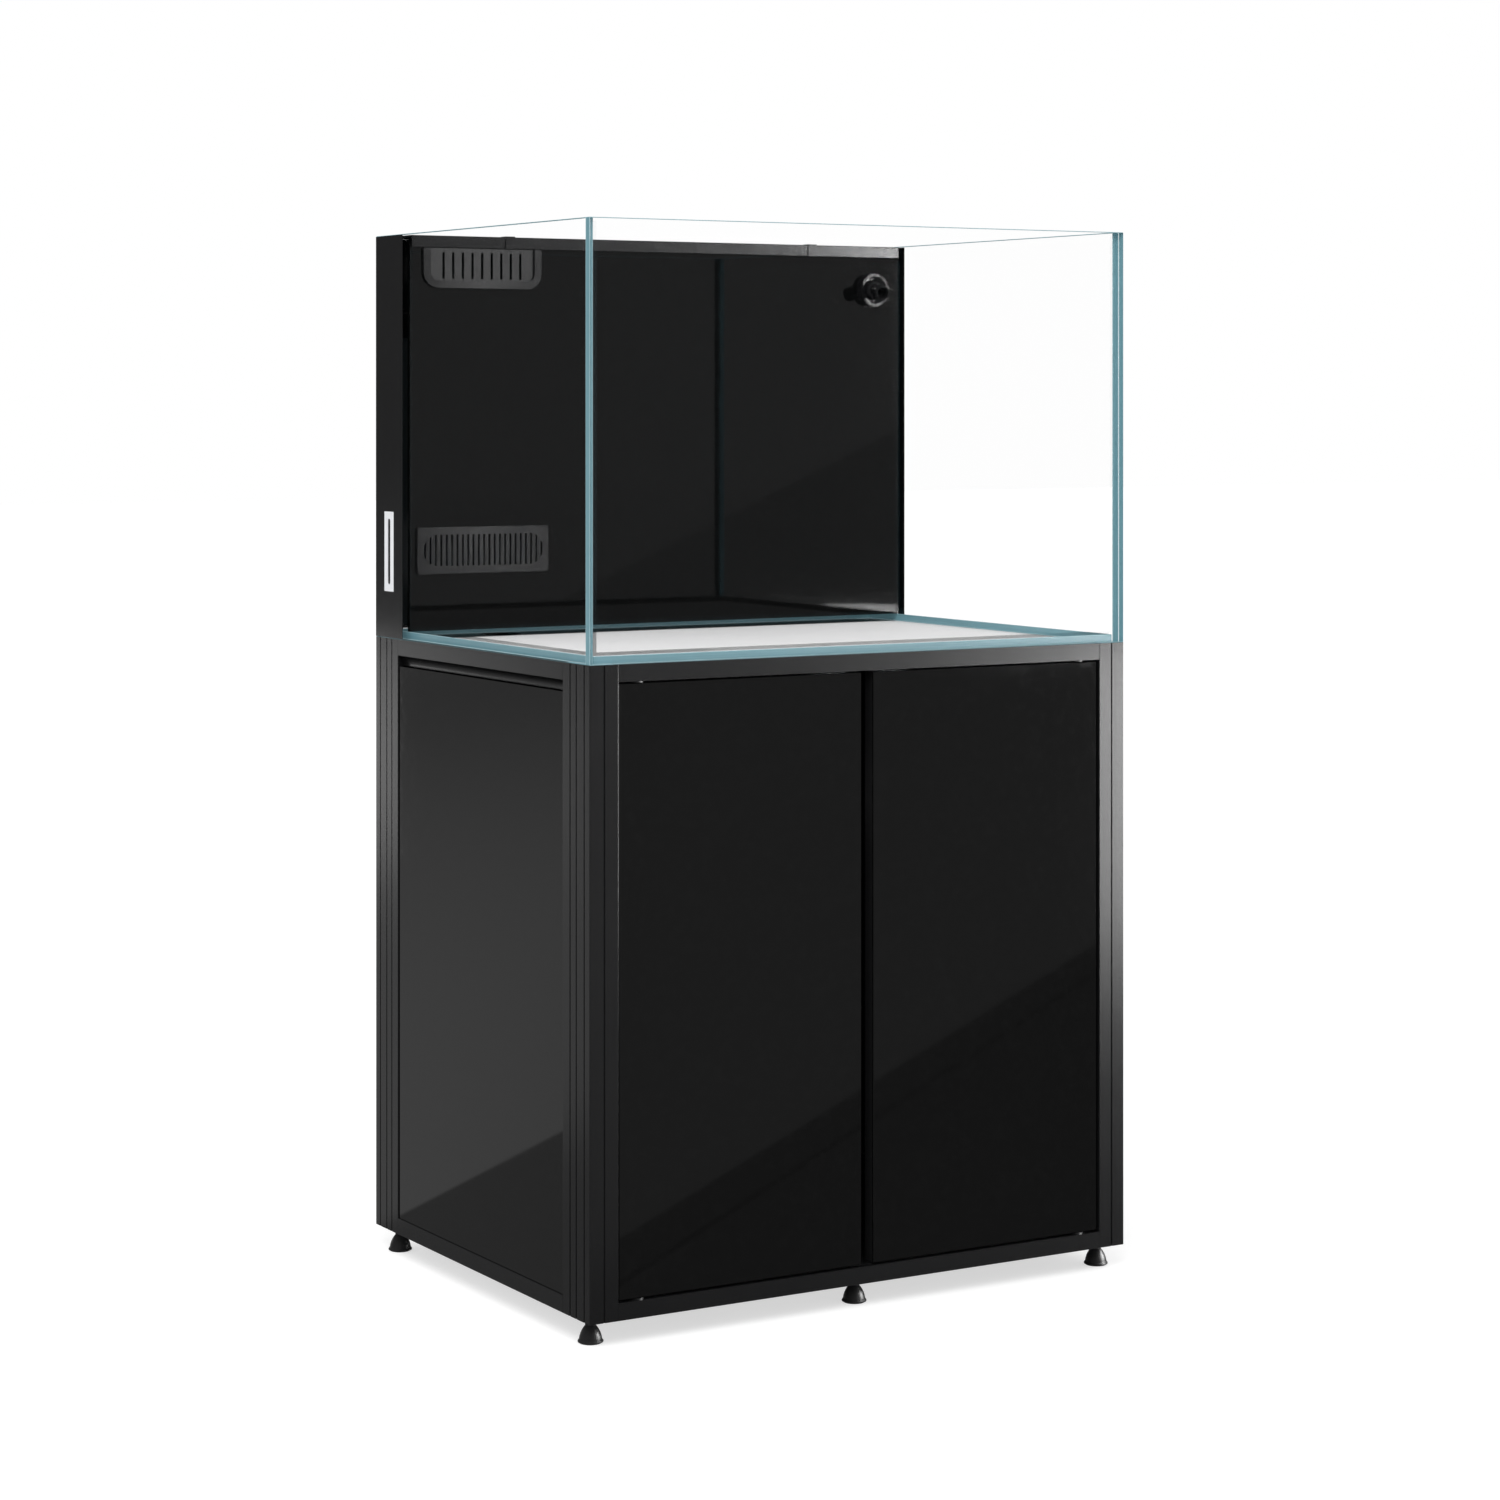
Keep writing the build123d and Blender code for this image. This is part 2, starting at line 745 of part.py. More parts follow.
def filter_sponge():
    """Block of coarse foam that fills the lower part of the basket."""
    x0 = -inner_x + basket_gap + basket_wall
    x1 = left_baffle_x - basket_gap - basket_wall
    y0 = chamber_y + basket_gap + basket_wall
    y1 = inner_y - film_t - basket_gap - basket_wall
    z0 = floor_z + basket_foot + basket_wall
    return block(x0, x1, y0, y1, z0, z0 + sponge_height)


def build_media():
    """Basket and sponge of the left bay."""
    save("media_basket", media_basket())
    save("filter_sponge", filter_sponge())


# Cabinet frame

def post():
    """Front left post: a hollow extrusion with one groove in front and three on its side."""
    outline = Pos(-foot_x, -foot_y) * Rectangle(post_width, post_depth)
    outline = fillet(outline.vertices(), post_edge)
    outline -= Pos(-half_w + front_groove_at, -half_d) * Rectangle(groove, 2 * groove_depth)
    for at in side_grooves_at:
        outline -= Pos(-half_w, -half_d + at) * Rectangle(2 * groove_depth, groove)
    outline -= Pos(-foot_x, -foot_y) * Rectangle(post_width - 2 * post_wall, post_depth - 2 * post_wall)
    return upright(outline, stand_base, stand_top)


def long_rail(z0, seat):
    """Front rail between the posts: a flat hollow extrusion with a raised lip in front of the board."""
    y0 = -half_d
    y1 = -post_y
    outline = Polyline((y0, z0), (y1, z0), (y1, seat), (y0 + lip, seat), (y0 + lip, z0 + rail_height),
                       (y0, z0 + rail_height), close=True)
    core_half = (y1 - y0) / 2 - rail_wall
    core_height = seat - z0 - 2 * rail_wall
    plane = Plane(origin=(-post_x, 0, 0), x_dir=(0, 1, 0), z_dir=(1, 0, 0))
    rail = extrude(plane * make_face(outline), 2 * post_x)
    core = Pos((y0 + y1) / 2, (z0 + seat) / 2) * Rectangle(2 * core_half, core_height)
    return rail - extrude(plane * core, 2 * post_x)


def side_rail(z0, seat, cove):
    """Left rail between the posts; the upper one has a hollowed cove below its flat face."""
    x0 = -half_w
    x1 = -post_x
    z1 = z0 + rail_height
    plane = Plane(origin=(0, post_y, 0), x_dir=(1, 0, 0), z_dir=(0, -1, 0))
    if cove:
        low = z0 - cove_height
        outline = Polyline((x0 + cove_depth, low), (x0 + cove_depth + cove_web, low),
                           (x0 + cove_depth + cove_web, z0), (x1, z0), (x1, seat), (x0 + lip, seat),
                           (x0 + lip, z1), (x0, z1), (x0, z0))
        hollow = ThreePointArc((x0, z0), (x0 + cove_depth * 0.72, z0 - cove_height * 0.36),
                               (x0 + cove_depth, low))
        section = make_face(outline + hollow)
    else:
        section = make_face(Polyline((x0, z0), (x1, z0), (x1, seat), (x0 + lip, seat), (x0 + lip, z1),
                                     (x0, z1), close=True))
    core_size = (x1 - x0 - 2 * rail_wall, seat - z0 - 2 * rail_wall)
    core = Pos((x0 + x1) / 2, (z0 + seat) / 2) * Rectangle(*core_size)
    return extrude(plane * (section - core), 2 * post_y)


def hinge_sockets(z0, z1):
    """Bores for the two hinge bushes in a front rail."""
    radius = pin_d / 2 + bush_wall + insert_gap
    return [rod_z(x, pivot_y, z0, z1, radius) for x in (-pivot_x, pivot_x)]


def stem_hole(x, y, z1):
    """Bore for a foot's stem and its fixing nut, from below."""
    return rod_z(x, y, stand_base - 1, z1, flat_nut_d / 2 + insert_gap)


def build_frame():
    """Posts, rails and the beams across the middle."""
    corner = post()
    save("post_front_left", corner)
    save("post_front_right", mirrored_x(corner))
    save("post_rear_left", mirrored_y(corner))
    save("post_rear_right", mirrored_x(mirrored_y(corner)))
    top_z = stand_top - rail_height
    top_rail = long_rail(top_z, top_seat)
    well = rod_z(cable_hole_x, chamber_middle, top_z - 1, top_seat + 1, cable_hole_d / 2 - grommet_wall)
    save("rear_top_rail", mirrored_y(top_rail) - well)
    for socket in hinge_sockets(top_z - 1, top_z + pin_reach + bush_wall):
        top_rail -= socket
    save("front_top_rail", top_rail)
    low_rail = long_rail(stand_base, base_seat) - stem_hole(0, -foot_y, base_seat + 1)
    save("rear_bottom_rail", mirrored_y(low_rail))
    for socket in hinge_sockets(base_top - pin_reach - bush_wall, base_top + 1):
        low_rail -= socket
    save("front_bottom_rail", low_rail)
    upper = side_rail(top_z, top_seat, True)
    save("left_top_rail", upper)
    save("right_top_rail", mirrored_x(upper))
    lower = side_rail(stand_base, base_seat, False)
    save("left_bottom_rail", lower)
    save("right_bottom_rail", mirrored_x(lower))
    beams = []
    for z0, z1 in ((top_z, top_seat), (stand_base, base_seat)):
        beam = block(-beam_width / 2, beam_width / 2, -post_y, post_y, z0, z1)
        core = block(-beam_width / 2 + rail_wall, beam_width / 2 - rail_wall, -post_y - 1, post_y + 1,
                     z0 + rail_wall, z1 - rail_wall)
        beams.append(beam - core)
    save("cross_beams", Compound(beams))


# Feet

def foot(x, y):
    """Bell-shaped levelling foot: base, flared rim, domed body, neck and stem."""
    flare = foot_d / 2
    dome = foot_dome_d / 2
    neck = foot_neck_d / 2
    stem = stem_d / 2
    top = foot_height + stem_length
    shoulder = (foot_shoulder_d / 2, (foot_dome_low + foot_dome_high) / 2)
    outline = Polyline((0, 0), (foot_base_d / 2, 0), (flare, foot_rim_low), (flare, foot_rim_high),
                       (dome, foot_dome_low))
    outline += ThreePointArc((dome, foot_dome_low), shoulder, (neck, foot_dome_high))
    outline += Polyline((neck, foot_dome_high), (neck, foot_height), (stem, foot_height), (stem, top),
                        (0, top), (0, 0))
    return Pos(x, y, 0) * revolve(Plane.XZ * make_face(outline), Axis.Z, 360)


def foot_insert(x, y, low, high, width, depth):
    """Block pressed in the frame whose bore takes a foot's stem."""
    solid = block(x - width / 2, x + width / 2, y - depth / 2, y + depth / 2, low, high)
    return solid - rod_z(x, y, low - 1, high + 1, stem_d / 2 + thread_gap)


def build_feet():
    """Six levelling feet and the inserts that hold their stems."""
    places = {
        "foot_front_left": (-foot_x, -foot_y),
        "foot_front_middle": (0, -foot_y),
        "foot_front_right": (foot_x, -foot_y),
        "foot_rear_left": (-foot_x, foot_y),
        "foot_rear_middle": (0, foot_y),
        "foot_rear_right": (foot_x, foot_y),
    }
    inserts = []
    inner_width = post_width - 2 * post_wall
    inner_depth = post_depth - 2 * post_wall
    for name, (x, y) in places.items():
        save(name, foot(x, y))
        if x:
            high = stand_base + insert_height
            inserts.append(foot_insert(x, y, stand_base, high, inner_width, inner_depth))
        else:
            nut = rod_z(x, y, stand_base, base_seat, flat_nut_d / 2)
            inserts.append(nut - rod_z(x, y, stand_base - 1, base_seat + 1, stem_d / 2 + thread_gap))
    save("foot_inserts", Compound(inserts))


# Boards and panels

def board(z_top, y0, y1):
    """Board lying on the seats of the rails, level with their lips."""
    x1 = half_w - lip - board_gap
    whole = block(-x1, x1, y0, y1, z_top - board_t, z_top)
    for sx in (-1, 1):
        for sy in (-1, 1):
            whole -= Pos(sx * foot_x, sy * foot_y, z_top) * Box(
                post_width + 2 * board_gap, post_depth + 2 * board_gap, 3 * board_t)
    return whole


def grommet(hole_d, depth):
    """Rubber ring for a hole, with a rim on its outer side, drawn upwards from the panel's face."""
    outer = hole_d / 2 - insert_gap
    inner = hole_d / 2 - grommet_wall
    tube = Pos(0, 0, -depth / 2) * (Cylinder(outer, depth) - Cylinder(inner, depth))
    rim_ring = Cylinder(hole_d / 2 + grommet_rim, grommet_rim_t) - Cylinder(inner, grommet_rim_t)
    return tube + Pos(0, 0, grommet_rim_t / 2) * rim_ring


def build_boards():
    """White top board, grey rear plate, base board, side and back panels, and the grommets."""
    front = -half_d + lip + board_gap
    rear = half_d - lip - board_gap
    save("top_board", board(stand_top, front, chamber_y))
    plate = board(stand_top, chamber_y + board_gap, rear)
    plate -= rod_z(cable_hole_x, chamber_middle, top_seat - 1, stand_top + 1, cable_hole_d / 2)
    plate -= rod_z(lift_hole_x, chamber_middle, top_seat - 1, stand_top + 1, lift_hole_d / 2)
    save("rear_plate", plate)
    base = board(base_top, front, rear)
    for x in (-pivot_x, pivot_x):
        base -= rod_z(x, pivot_y, base_seat - 1, base_top + 1, pin_d / 2 + bush_wall + insert_gap)
    for y in (-foot_y, foot_y):
        base -= rod_z(0, y, base_seat - 1, base_top + 1, stem_d / 2 + 2.0)
    save("base_board", base)
    panel_x = -half_w + panel_recess
    side_top = stand_top - rail_height - cove_height - panel_gap
    side = block(panel_x, panel_x + panel_t, -post_y + panel_gap, post_y - panel_gap, base_top, side_top)
    save("left_side_panel", side)
    save("right_side_panel", mirrored_x(side))
    back_y = half_d - panel_recess
    back = block(-post_x + panel_gap, post_x - panel_gap, back_y - panel_t, back_y, base_top,
                 stand_top - rail_height - panel_gap)
    holes = slot_row(rear_vent_slots, rear_vent_pitch, rear_vent_width, rear_vent_length, 0, rear_vent_z)
    for x in (-port_x, port_x):
        holes += Pos(x, port_z) * Circle(port_d / 2)
    save("back_panel", back - across(holes, back_y - panel_t - 1, back_y + 1))
    rings = []
    for x in (-port_x, port_x):
        rings.append(Pos(x, back_y, port_z) * Rot(-90, 0, 0) * grommet(port_d, panel_t))
    flush = rod_z(cable_hole_x, chamber_middle, top_seat, stand_top, cable_hole_d / 2 - insert_gap)
    well = rod_z(cable_hole_x, chamber_middle, top_seat, stand_top, cable_hole_d / 2 - grommet_wall)
    rings.append(flush - well)
    save("cable_grommets", Compound(rings))


# Doors

def build_doors():
    """Two inset doors on pivot pins, their bushes, strike plates and magnets."""
    inner = -centre_gap / 2
    core = block(-door_outer, inner, door_join, door_back, door_bottom, door_top)
    sheet = block(-door_outer, inner, door_front, door_join, door_bottom, door_top)
    sheet = chamfer(sheet.faces().sort_by(Axis.Y)[0].edges(), door_edge)
    pin_low = rod_z(-pivot_x, pivot_y, base_top - pin_reach, door_bottom + pin_grip, pin_d / 2)
    ceiling = stand_top - rail_height
    pin_high = rod_z(-pivot_x, pivot_y, door_top - pin_grip, ceiling + pin_reach, pin_d / 2)
    strike_x = inner - magnet_inset - magnet_width / 2
    strike = block(strike_x - strike_width / 2, strike_x + strike_width / 2, door_back - strike_t,
                   door_back, door_top - strike_height, door_top)
    core = core - pin_low - pin_high - strike
    fittings = Compound([pin_low, pin_high, strike])
    save("left_door_core", core)
    save("left_door_face", sheet)
    save("left_door_fittings", fittings)
    save("right_door_core", mirrored_x(core))
    save("right_door_face", mirrored_x(sheet))
    save("right_door_fittings", Compound([mirrored_x(s) for s in fittings.solids()]))
    bushes = []
    bore = pin_d / 2 + pin_gap
    outer = pin_d / 2 + bush_wall
    flange = bush_flange_d / 2
    floor_end = base_top + bush_flange_t
    ceiling_end = ceiling - bush_flange_t
    for x in (-pivot_x, pivot_x):
        low = rod_z(x, pivot_y, base_top - pin_reach - bush_wall, base_top, outer)
        low += rod_z(x, pivot_y, base_top, floor_end, flange)
        bushes.append(low - rod_z(x, pivot_y, base_top - pin_reach - pin_gap, floor_end + 1, bore))
        high = rod_z(x, pivot_y, ceiling, ceiling + pin_reach + bush_wall, outer)
        high += rod_z(x, pivot_y, ceiling_end, ceiling, flange)
        bushes.append(high - rod_z(x, pivot_y, ceiling_end - 1, ceiling + pin_reach + pin_gap, bore))
    save("hinge_bushes", Compound(bushes))
    magnets = []
    for side in (-1, 1):
        x = side * (centre_gap / 2 + magnet_inset + magnet_width / 2)
        y0 = door_back + magnet_gap
        magnets.append(block(x - magnet_width / 2, x + magnet_width / 2, y0, y0 + magnet_depth,
                             ceiling - magnet_height, ceiling))
    save("door_magnets", Compound(magnets))


def angle_bracket():
    """Cast angle bracket, drawn standing on z 0 and leaning on x 0, with a rib between its legs."""
    half = bracket_width / 2
    shape = block(0, bracket_leg, -half, half, 0, bracket_t)
    shape += block(0, bracket_t, -half, half, 0, bracket_leg)
    tip = bracket_leg - bracket_t
    rib = make_face(Polyline((bracket_t, bracket_t), (tip, bracket_t), (bracket_t, tip), close=True))
    return shape + across(rib, -bracket_rib / 2, bracket_rib / 2)


def build_brackets():
    """Eight brackets that tie the posts to the base below and to the long rails above."""
    one = angle_bracket()
    pieces = []
    for y in (-post_y - bracket_offset, post_y + bracket_offset):
        low = Pos(-post_x, y, base_top) * one
        high = Pos(-post_x, y, stand_top - rail_height) * mirror(one, about=Plane.XY)
        pieces += [low, high, mirrored_x(low), mirrored_x(high)]
    save("corner_brackets", Compound(pieces))


def main():
    """Build every piece."""
    os.makedirs("parts", exist_ok=True)
    build_tank()
    build_chamber()
    build_return()
    build_media()
    build_frame()
    build_feet()
    build_boards()
    build_doors()
    build_brackets()


main()
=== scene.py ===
# %% [markdown]
# # A reef aquarium on its cabinet
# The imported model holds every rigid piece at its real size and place. This lesson loads it, sets the
# camera, and then gives each piece its finish: clear glass with teal edges, gloss black panels, a satin
# black frame, a white base mat and moulded plastic fittings. A few small pieces are made here as well:
# the floor pane, foam, hose, clamps, bolts, screws, the pads in the posts and the threads of the feet.
# Everything is in metres, with the floor at z = 0 and the doors facing -Y.

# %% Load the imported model
import math

import bpy
import numpy as np
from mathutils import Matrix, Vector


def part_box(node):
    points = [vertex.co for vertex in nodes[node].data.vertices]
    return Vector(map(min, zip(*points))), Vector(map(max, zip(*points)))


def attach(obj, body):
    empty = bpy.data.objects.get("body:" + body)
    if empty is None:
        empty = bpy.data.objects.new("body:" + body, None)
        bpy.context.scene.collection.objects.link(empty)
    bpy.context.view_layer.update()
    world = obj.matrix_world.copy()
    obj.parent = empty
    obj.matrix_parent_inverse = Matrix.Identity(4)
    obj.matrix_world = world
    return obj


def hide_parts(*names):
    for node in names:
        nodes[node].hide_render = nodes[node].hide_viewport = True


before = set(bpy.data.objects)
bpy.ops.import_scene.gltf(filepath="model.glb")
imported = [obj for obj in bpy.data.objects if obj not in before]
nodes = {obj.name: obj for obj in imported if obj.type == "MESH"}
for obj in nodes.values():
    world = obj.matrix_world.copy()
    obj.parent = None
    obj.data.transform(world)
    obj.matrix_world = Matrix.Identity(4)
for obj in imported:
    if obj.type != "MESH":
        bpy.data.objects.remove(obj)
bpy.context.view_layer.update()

print("pieces in the model:", len(nodes))

# %% [markdown]
# ## The camera
# The picture was taken from the left, at the height of the middle of the tank, with upright edges that
# stay parallel. So the camera looks level, and the frame is slid down with a lens shift instead of
# tilting the camera, which would make the uprights lean. The focal length and the place come from the
# tank's own corners, whose distances are known.

# %% Camera
lens = bpy.data.cameras.new("camera")
lens.lens = 84.858
lens.sensor_width = 36.0
lens.shift_y = -0.23559
camera = bpy.data.objects.new("camera", lens)
camera.location = (-2.26603, -3.81400, 1.07946)
camera.rotation_euler = (math.radians(90.0), 0.0, math.radians(-30.794))
bpy.context.scene.collection.objects.link(camera)
bpy.context.scene.camera = camera
bpy.context.scene.view_settings.view_transform = "Standard"
print("camera height:", camera.location.z)

# %% [markdown]
# ## Writing shader maths as expressions
# A procedural finish is a small sum: so much grain, more wear here, less gloss there. Placing a Math
# node by hand for every plus sign hides that sum. A wrapper round an output socket can overload Python's
# operators instead, so that `0.3 + grain * 0.1` adds the two nodes by itself. Each operator has its
# reflected form as well, because in `1 - mask` the number stands on the left.

# %% The wire: one output socket that takes part in sums
class Wire:
    """An output of a shader node. Arithmetic on it adds Math nodes to its finish."""

    def __init__(self, finish, socket):
        self.finish = finish
        self.socket = socket

    def math(self, operation, *values):
        return self.finish.node("ShaderNodeMath", {"operation": operation}, dict(enumerate(values)))

    def __add__(self, other):
        return self.math("ADD", self, other)

    def __radd__(self, other):
        return self.math("ADD", other, self)

    def __sub__(self, other):
        return self.math("SUBTRACT", self, other)

    def __rsub__(self, other):
        return self.math("SUBTRACT", other, self)

    def __mul__(self, other):
        return self.math("MULTIPLY", self, other)

    def __rmul__(self, other):
        return self.math("MULTIPLY", other, self)

    def __gt__(self, other):
        return self.math("GREATER_THAN", self, other)

    def __lt__(self, other):
        return self.math("LESS_THAN", self, other)

    def __abs__(self):
        return self.math("ABSOLUTE", self)

    def ramp(self, low, high, start=0.0, end=1.0):
        """Soft step: start below low, end above high and an S-curve between."""
        settings = {"interpolation_type": "SMOOTHSTEP"}
        values = {"Value": self, "From Min": low, "From Max": high, "To Min": start, "To Max": end}
        return self.finish.node("ShaderNodeMapRange", settings, values)


# %% [markdown]
# ## The finish: a material in the making
# One method adds any node: its type, then its settings, then the values or wires of its sockets. The
# order matters, because a setting such as a Mix node's data type decides which sockets are live.
# Patterns are laid out on Object coordinates, which are metres on the piece, so grain keeps its real
# size on a long rail and on a small cap alike.

# %% The finish
def linear(red, green, blue):
    """Colour given from 0 to 255, as the linear light that shaders work in."""
    parts = np.array([red, green, blue]) / 255
    return tuple(np.where(parts <= 0.04045, parts / 12.92, ((parts + 0.055) / 1.055) ** 2.4).tolist())


class Finish:
    """A material, or the world, whose nodes are added one by one; most materials end in shade()."""

    def __init__(self, name, owner=None):
        self.material = owner or bpy.data.materials.new(name)
        self.material.use_nodes = True
        self.tree = self.material.node_tree
        self.tree.nodes.clear()
        self.place = self.node("ShaderNodeTexCoord", output="Object")

    def node(self, kind, settings=None, sockets=None, output=0):
        made = self.tree.nodes.new(kind)
        for name, value in (settings or {}).items():
            setattr(made, name, value)
        for name, value in (sockets or {}).items():
            self.feed(made.inputs[name], value)
        return Wire(self, made.outputs[output])

    def feed(self, socket, value):
        if isinstance(value, Wire):
            self.tree.links.new(value.socket, socket)
        elif socket.type == "RGBA":
            socket.default_value = (*value, 1.0)
        else:
            socket.default_value = value

    def axis(self, letter):
        """One coordinate of the place on the piece, in metres."""
        return self.node("ShaderNodeSeparateXYZ", sockets={0: self.place}, output=letter.upper())

    def grain(self, size, stretch=(1.0, 1.0, 1.0), detail=3.0):
        """Cloudy noise from 0 to 1 whose blobs are about size metres, drawn out along an axis."""
        scaled = {"Vector": self.place, "Scale": tuple(1 / part for part in stretch)}
        place = self.node("ShaderNodeMapping", {"vector_type": "POINT"}, scaled)
        return self.node("ShaderNodeTexNoise", {"noise_dimensions": "3D"},
                         {"Vector": place, "Scale": 1 / size, "Detail": detail, "Roughness": 0.55})

    def blend(self, share, first, second):
        """Colour that goes from first to second as share goes from 0 to 1."""
        return self.node("ShaderNodeMix", {"data_type": "RGBA"}, {0: share, 6: first, 7: second}, 2)

    def shade(self, colour, roughness, relief=None, depth=0.0001, **constants):
        """Principled shader: what varies is linked, and what doesn't is set on its own socket."""
        sockets = {"Base Color": colour, "Roughness": roughness}
        sockets.update({name.replace("_", " "): value for name, value in constants.items()})
        if relief is not None:
            bump = {"Height": relief, "Distance": depth, "Strength": 1.0}
            sockets["Normal"] = self.node("ShaderNodeBump", sockets=bump)
        shader = self.node("ShaderNodeBsdfPrincipled", sockets=sockets)
        self.node_output(shader)
        return self.material

    def node_output(self, shader, kind="ShaderNodeOutputMaterial"):
        made = self.tree.nodes.new(kind)
        self.tree.links.new(shader.socket, made.inputs["Surface"])

    def ray(self, kind):
        """1 for rays of this kind and 0 for all others."""
        return self.node("ShaderNodeLightPath", output=f"Is {kind} Ray")

    def glow(self, strength):
        """White light that the surface gives off by itself."""
        return self.node("ShaderNodeEmission", sockets={"Color": (1, 1, 1), "Strength": strength})


# %% [markdown]
# ## Glass
# A pane of float glass is clear across its faces and deep teal at its edges, because light that comes
# out of an edge has travelled through many centimetres of slightly green glass. Tracing that honestly
# takes many bounces and a thick slab bends what stands behind it, which on a clean studio picture can
# hardly be seen. So the faces are made almost wholly see-through and the edges solid. The mask needs no
# painting: a point belongs to a face when it lies half the glass's thickness from the pane's mid-plane.
# Ground edges aren't even, so their colour drifts a little along the pane. A painted highlight makes
# the arris paler, and the edges are given a painted glow in place of the light that an edge passes on
# from elsewhere, so they look lit even in a dark corner.

# %% Glass panes
TEAL = linear(113, 153, 163)
TEAL_DEEP = linear(99, 141, 152)
TEAL_ARRIS_HIGHLIGHT = linear(160, 190, 196)
FACE_TINT = linear(40, 62, 66)
FACE_ALPHA = 0.004
FACE_SKIN = 0.00035
ARRIS_FROM, ARRIS_FULL = 0.0016, 0.0006
# share of the edges' teal that is a painted glow
EDGE_PAINTED_GLOW = 0.22
panes = {"front_pane": "y", "rear_pane": "y", "left_pane": "x", "right_pane": "x", "bottom_pane": "z"}


def glass_finish(pane, letter):
    """Clear faces and teal edges for a pane that is thin along the axis of this letter."""
    low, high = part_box(pane)
    index = "xyz".index(letter)
    middle = (low[index] + high[index]) / 2
    half = (high[index] - low[index]) / 2
    finish = Finish("glass_" + pane)
    depth = abs(finish.axis(letter) - middle)
    edge = 1 - (depth > half - FACE_SKIN)
    long_way = [6.0, 6.0, 6.0]
    long_way[index] = 0.02
    drift = finish.grain(0.05, tuple(long_way))
    # painted highlight: towards the arris the teal is mixed with a paler teal
    arris = depth.ramp(half - ARRIS_FROM, half - ARRIS_FULL)
    teal = finish.blend(drift.ramp(0.35, 0.65), TEAL_DEEP, TEAL)
    teal = finish.blend(arris * 0.75, teal, TEAL_ARRIS_HIGHLIGHT)
    # painted glow: part of the edges' teal is taken from the base colour and given off as emitted light
    colour = finish.blend(edge * (1 - EDGE_PAINTED_GLOW), FACE_TINT, teal)
    glow = finish.blend(edge, (0.0, 0.0, 0.0), teal)
    return finish.shade(colour, 0.08 + edge * 0.22, Alpha=FACE_ALPHA + edge * (1 - FACE_ALPHA), IOR=1.5,
                        Emission_Color=glow, Emission_Strength=EDGE_PAINTED_GLOW)


def dress(material, *names):
    """Put one finish on whole nodes of the model, in every material slot they have."""
    for name in names:
        for place in nodes[name].material_slots:
            place.material = material
    print(material.name, "on", len(names), "pieces")


for pane, letter in panes.items():
    dress(glass_finish(pane, letter), pane)

# %% [markdown]
# ## Silicone
# The seams inside the tank are clear silicone, smoothed with a finger. It is softer and milkier than
# glass, so it gets some opacity, a satin surface and slow waves where the finger ran.

# %% Silicone seams
finish = Finish("clear_silicone")
waves = finish.grain(0.012, detail=2.0)
milky = finish.blend(waves, linear(58, 84, 92), linear(84, 112, 120))
silicone = finish.shade(milky, 0.28 + waves * 0.12, waves, 0.0002, Alpha=0.02 + waves * 0.02, IOR=1.41)
dress(silicone, "silicone_seams")

# %% [markdown]
# ## Gloss black panels
# The partition, the doors and the side panels are black acrylic sheet: almost no colour of their own,
# and a mirror for whatever stands in front of them. What makes such a sheet look real is that it isn't
# perfect. A very fine ripple bends reflections slightly, and a thin even film of dust shows as a little
# more roughness in places. Both come from noise, at two sizes.

# %% Gloss black
def gloss_black(name, colour, smoothness, shine):
    finish = Finish(name)
    ripple = finish.grain(0.06, detail=1.0)
    dust = finish.grain(0.009, detail=5.0).ramp(0.45, 0.75)
    tone = finish.blend(dust, colour, tuple(part * 1.25 + 0.0004 for part in colour))
    return finish.shade(tone, smoothness + dust * 0.02, ripple, 0.00001, **{"Specular IOR Level": shine})


dress(gloss_black("gloss_black_sheet", linear(7, 7, 7), 0.03, 0.62), "partition", "chamber_baffles")
dress(gloss_black("gloss_black_film", linear(12, 12, 13), 0.12, 0.30), "chamber_film")
dress(gloss_black("gloss_black_panel", linear(9, 9, 9), 0.03, 0.5),
      "left_door_face", "right_door_face", "left_side_panel", "right_side_panel")

# %% [markdown]
# ## The frame
# Posts and rails are drawn aluminium with a satin black coat. Drawing leaves faint lines along the
# bar, and the coat itself is slightly pebbled. The lines run along the longest side of each piece, so
# the noise is drawn out that way.

# %% Satin black frame
def frame_finish(name, stretch):
    finish = Finish(name)
    lines = finish.grain(0.0012, stretch, detail=2.0)
    pebble = finish.grain(0.0007, detail=2.0)
    worn = finish.grain(0.08, detail=4.0)
    tone = finish.blend(lines * 0.6 + worn * 0.4, linear(15, 15, 16), linear(21, 21, 22))
    roughness = 0.18 + pebble * 0.05 + worn * 0.04
    return finish.shade(tone, roughness, lines * 0.5 + pebble * 0.5, 0.000016, IOR=1.5)


posts = [name for name in nodes if name.startswith("post_")]
long_rails = ["front_top_rail", "rear_top_rail", "front_bottom_rail", "rear_bottom_rail"]
side_rails = ["left_top_rail", "right_top_rail", "left_bottom_rail", "right_bottom_rail", "cross_beams"]
dress(frame_finish("frame_upright", (1.0, 1.0, 60.0)), *posts)
dress(frame_finish("frame_across", (60.0, 1.0, 1.0)), *long_rails)
dress(frame_finish("frame_deep", (1.0, 60.0, 1.0)), *side_rails)

# %% [markdown]
# ## Boards and plates
# Under the floor pane lies a white mat, and behind it a grey plate. Inside the cabinet are black
# laminated boards. A mat has a fine closed-cell skin, laminate has a shallow leather-like relief, and a
# painted plate has orange peel: three noises of different size and depth.

# %% Mat, plate and laminate
finish = Finish("white_mat")
cells = finish.grain(0.0016, detail=3.0)
shade = finish.grain(0.12, detail=2.0)
tone = finish.blend(cells * 0.5 + shade * 0.5, linear(240, 240, 241), linear(248, 248, 248))
mat = finish.shade(tone, 0.55 + cells * 0.1, cells, 0.00008)
dress(mat, "top_board")

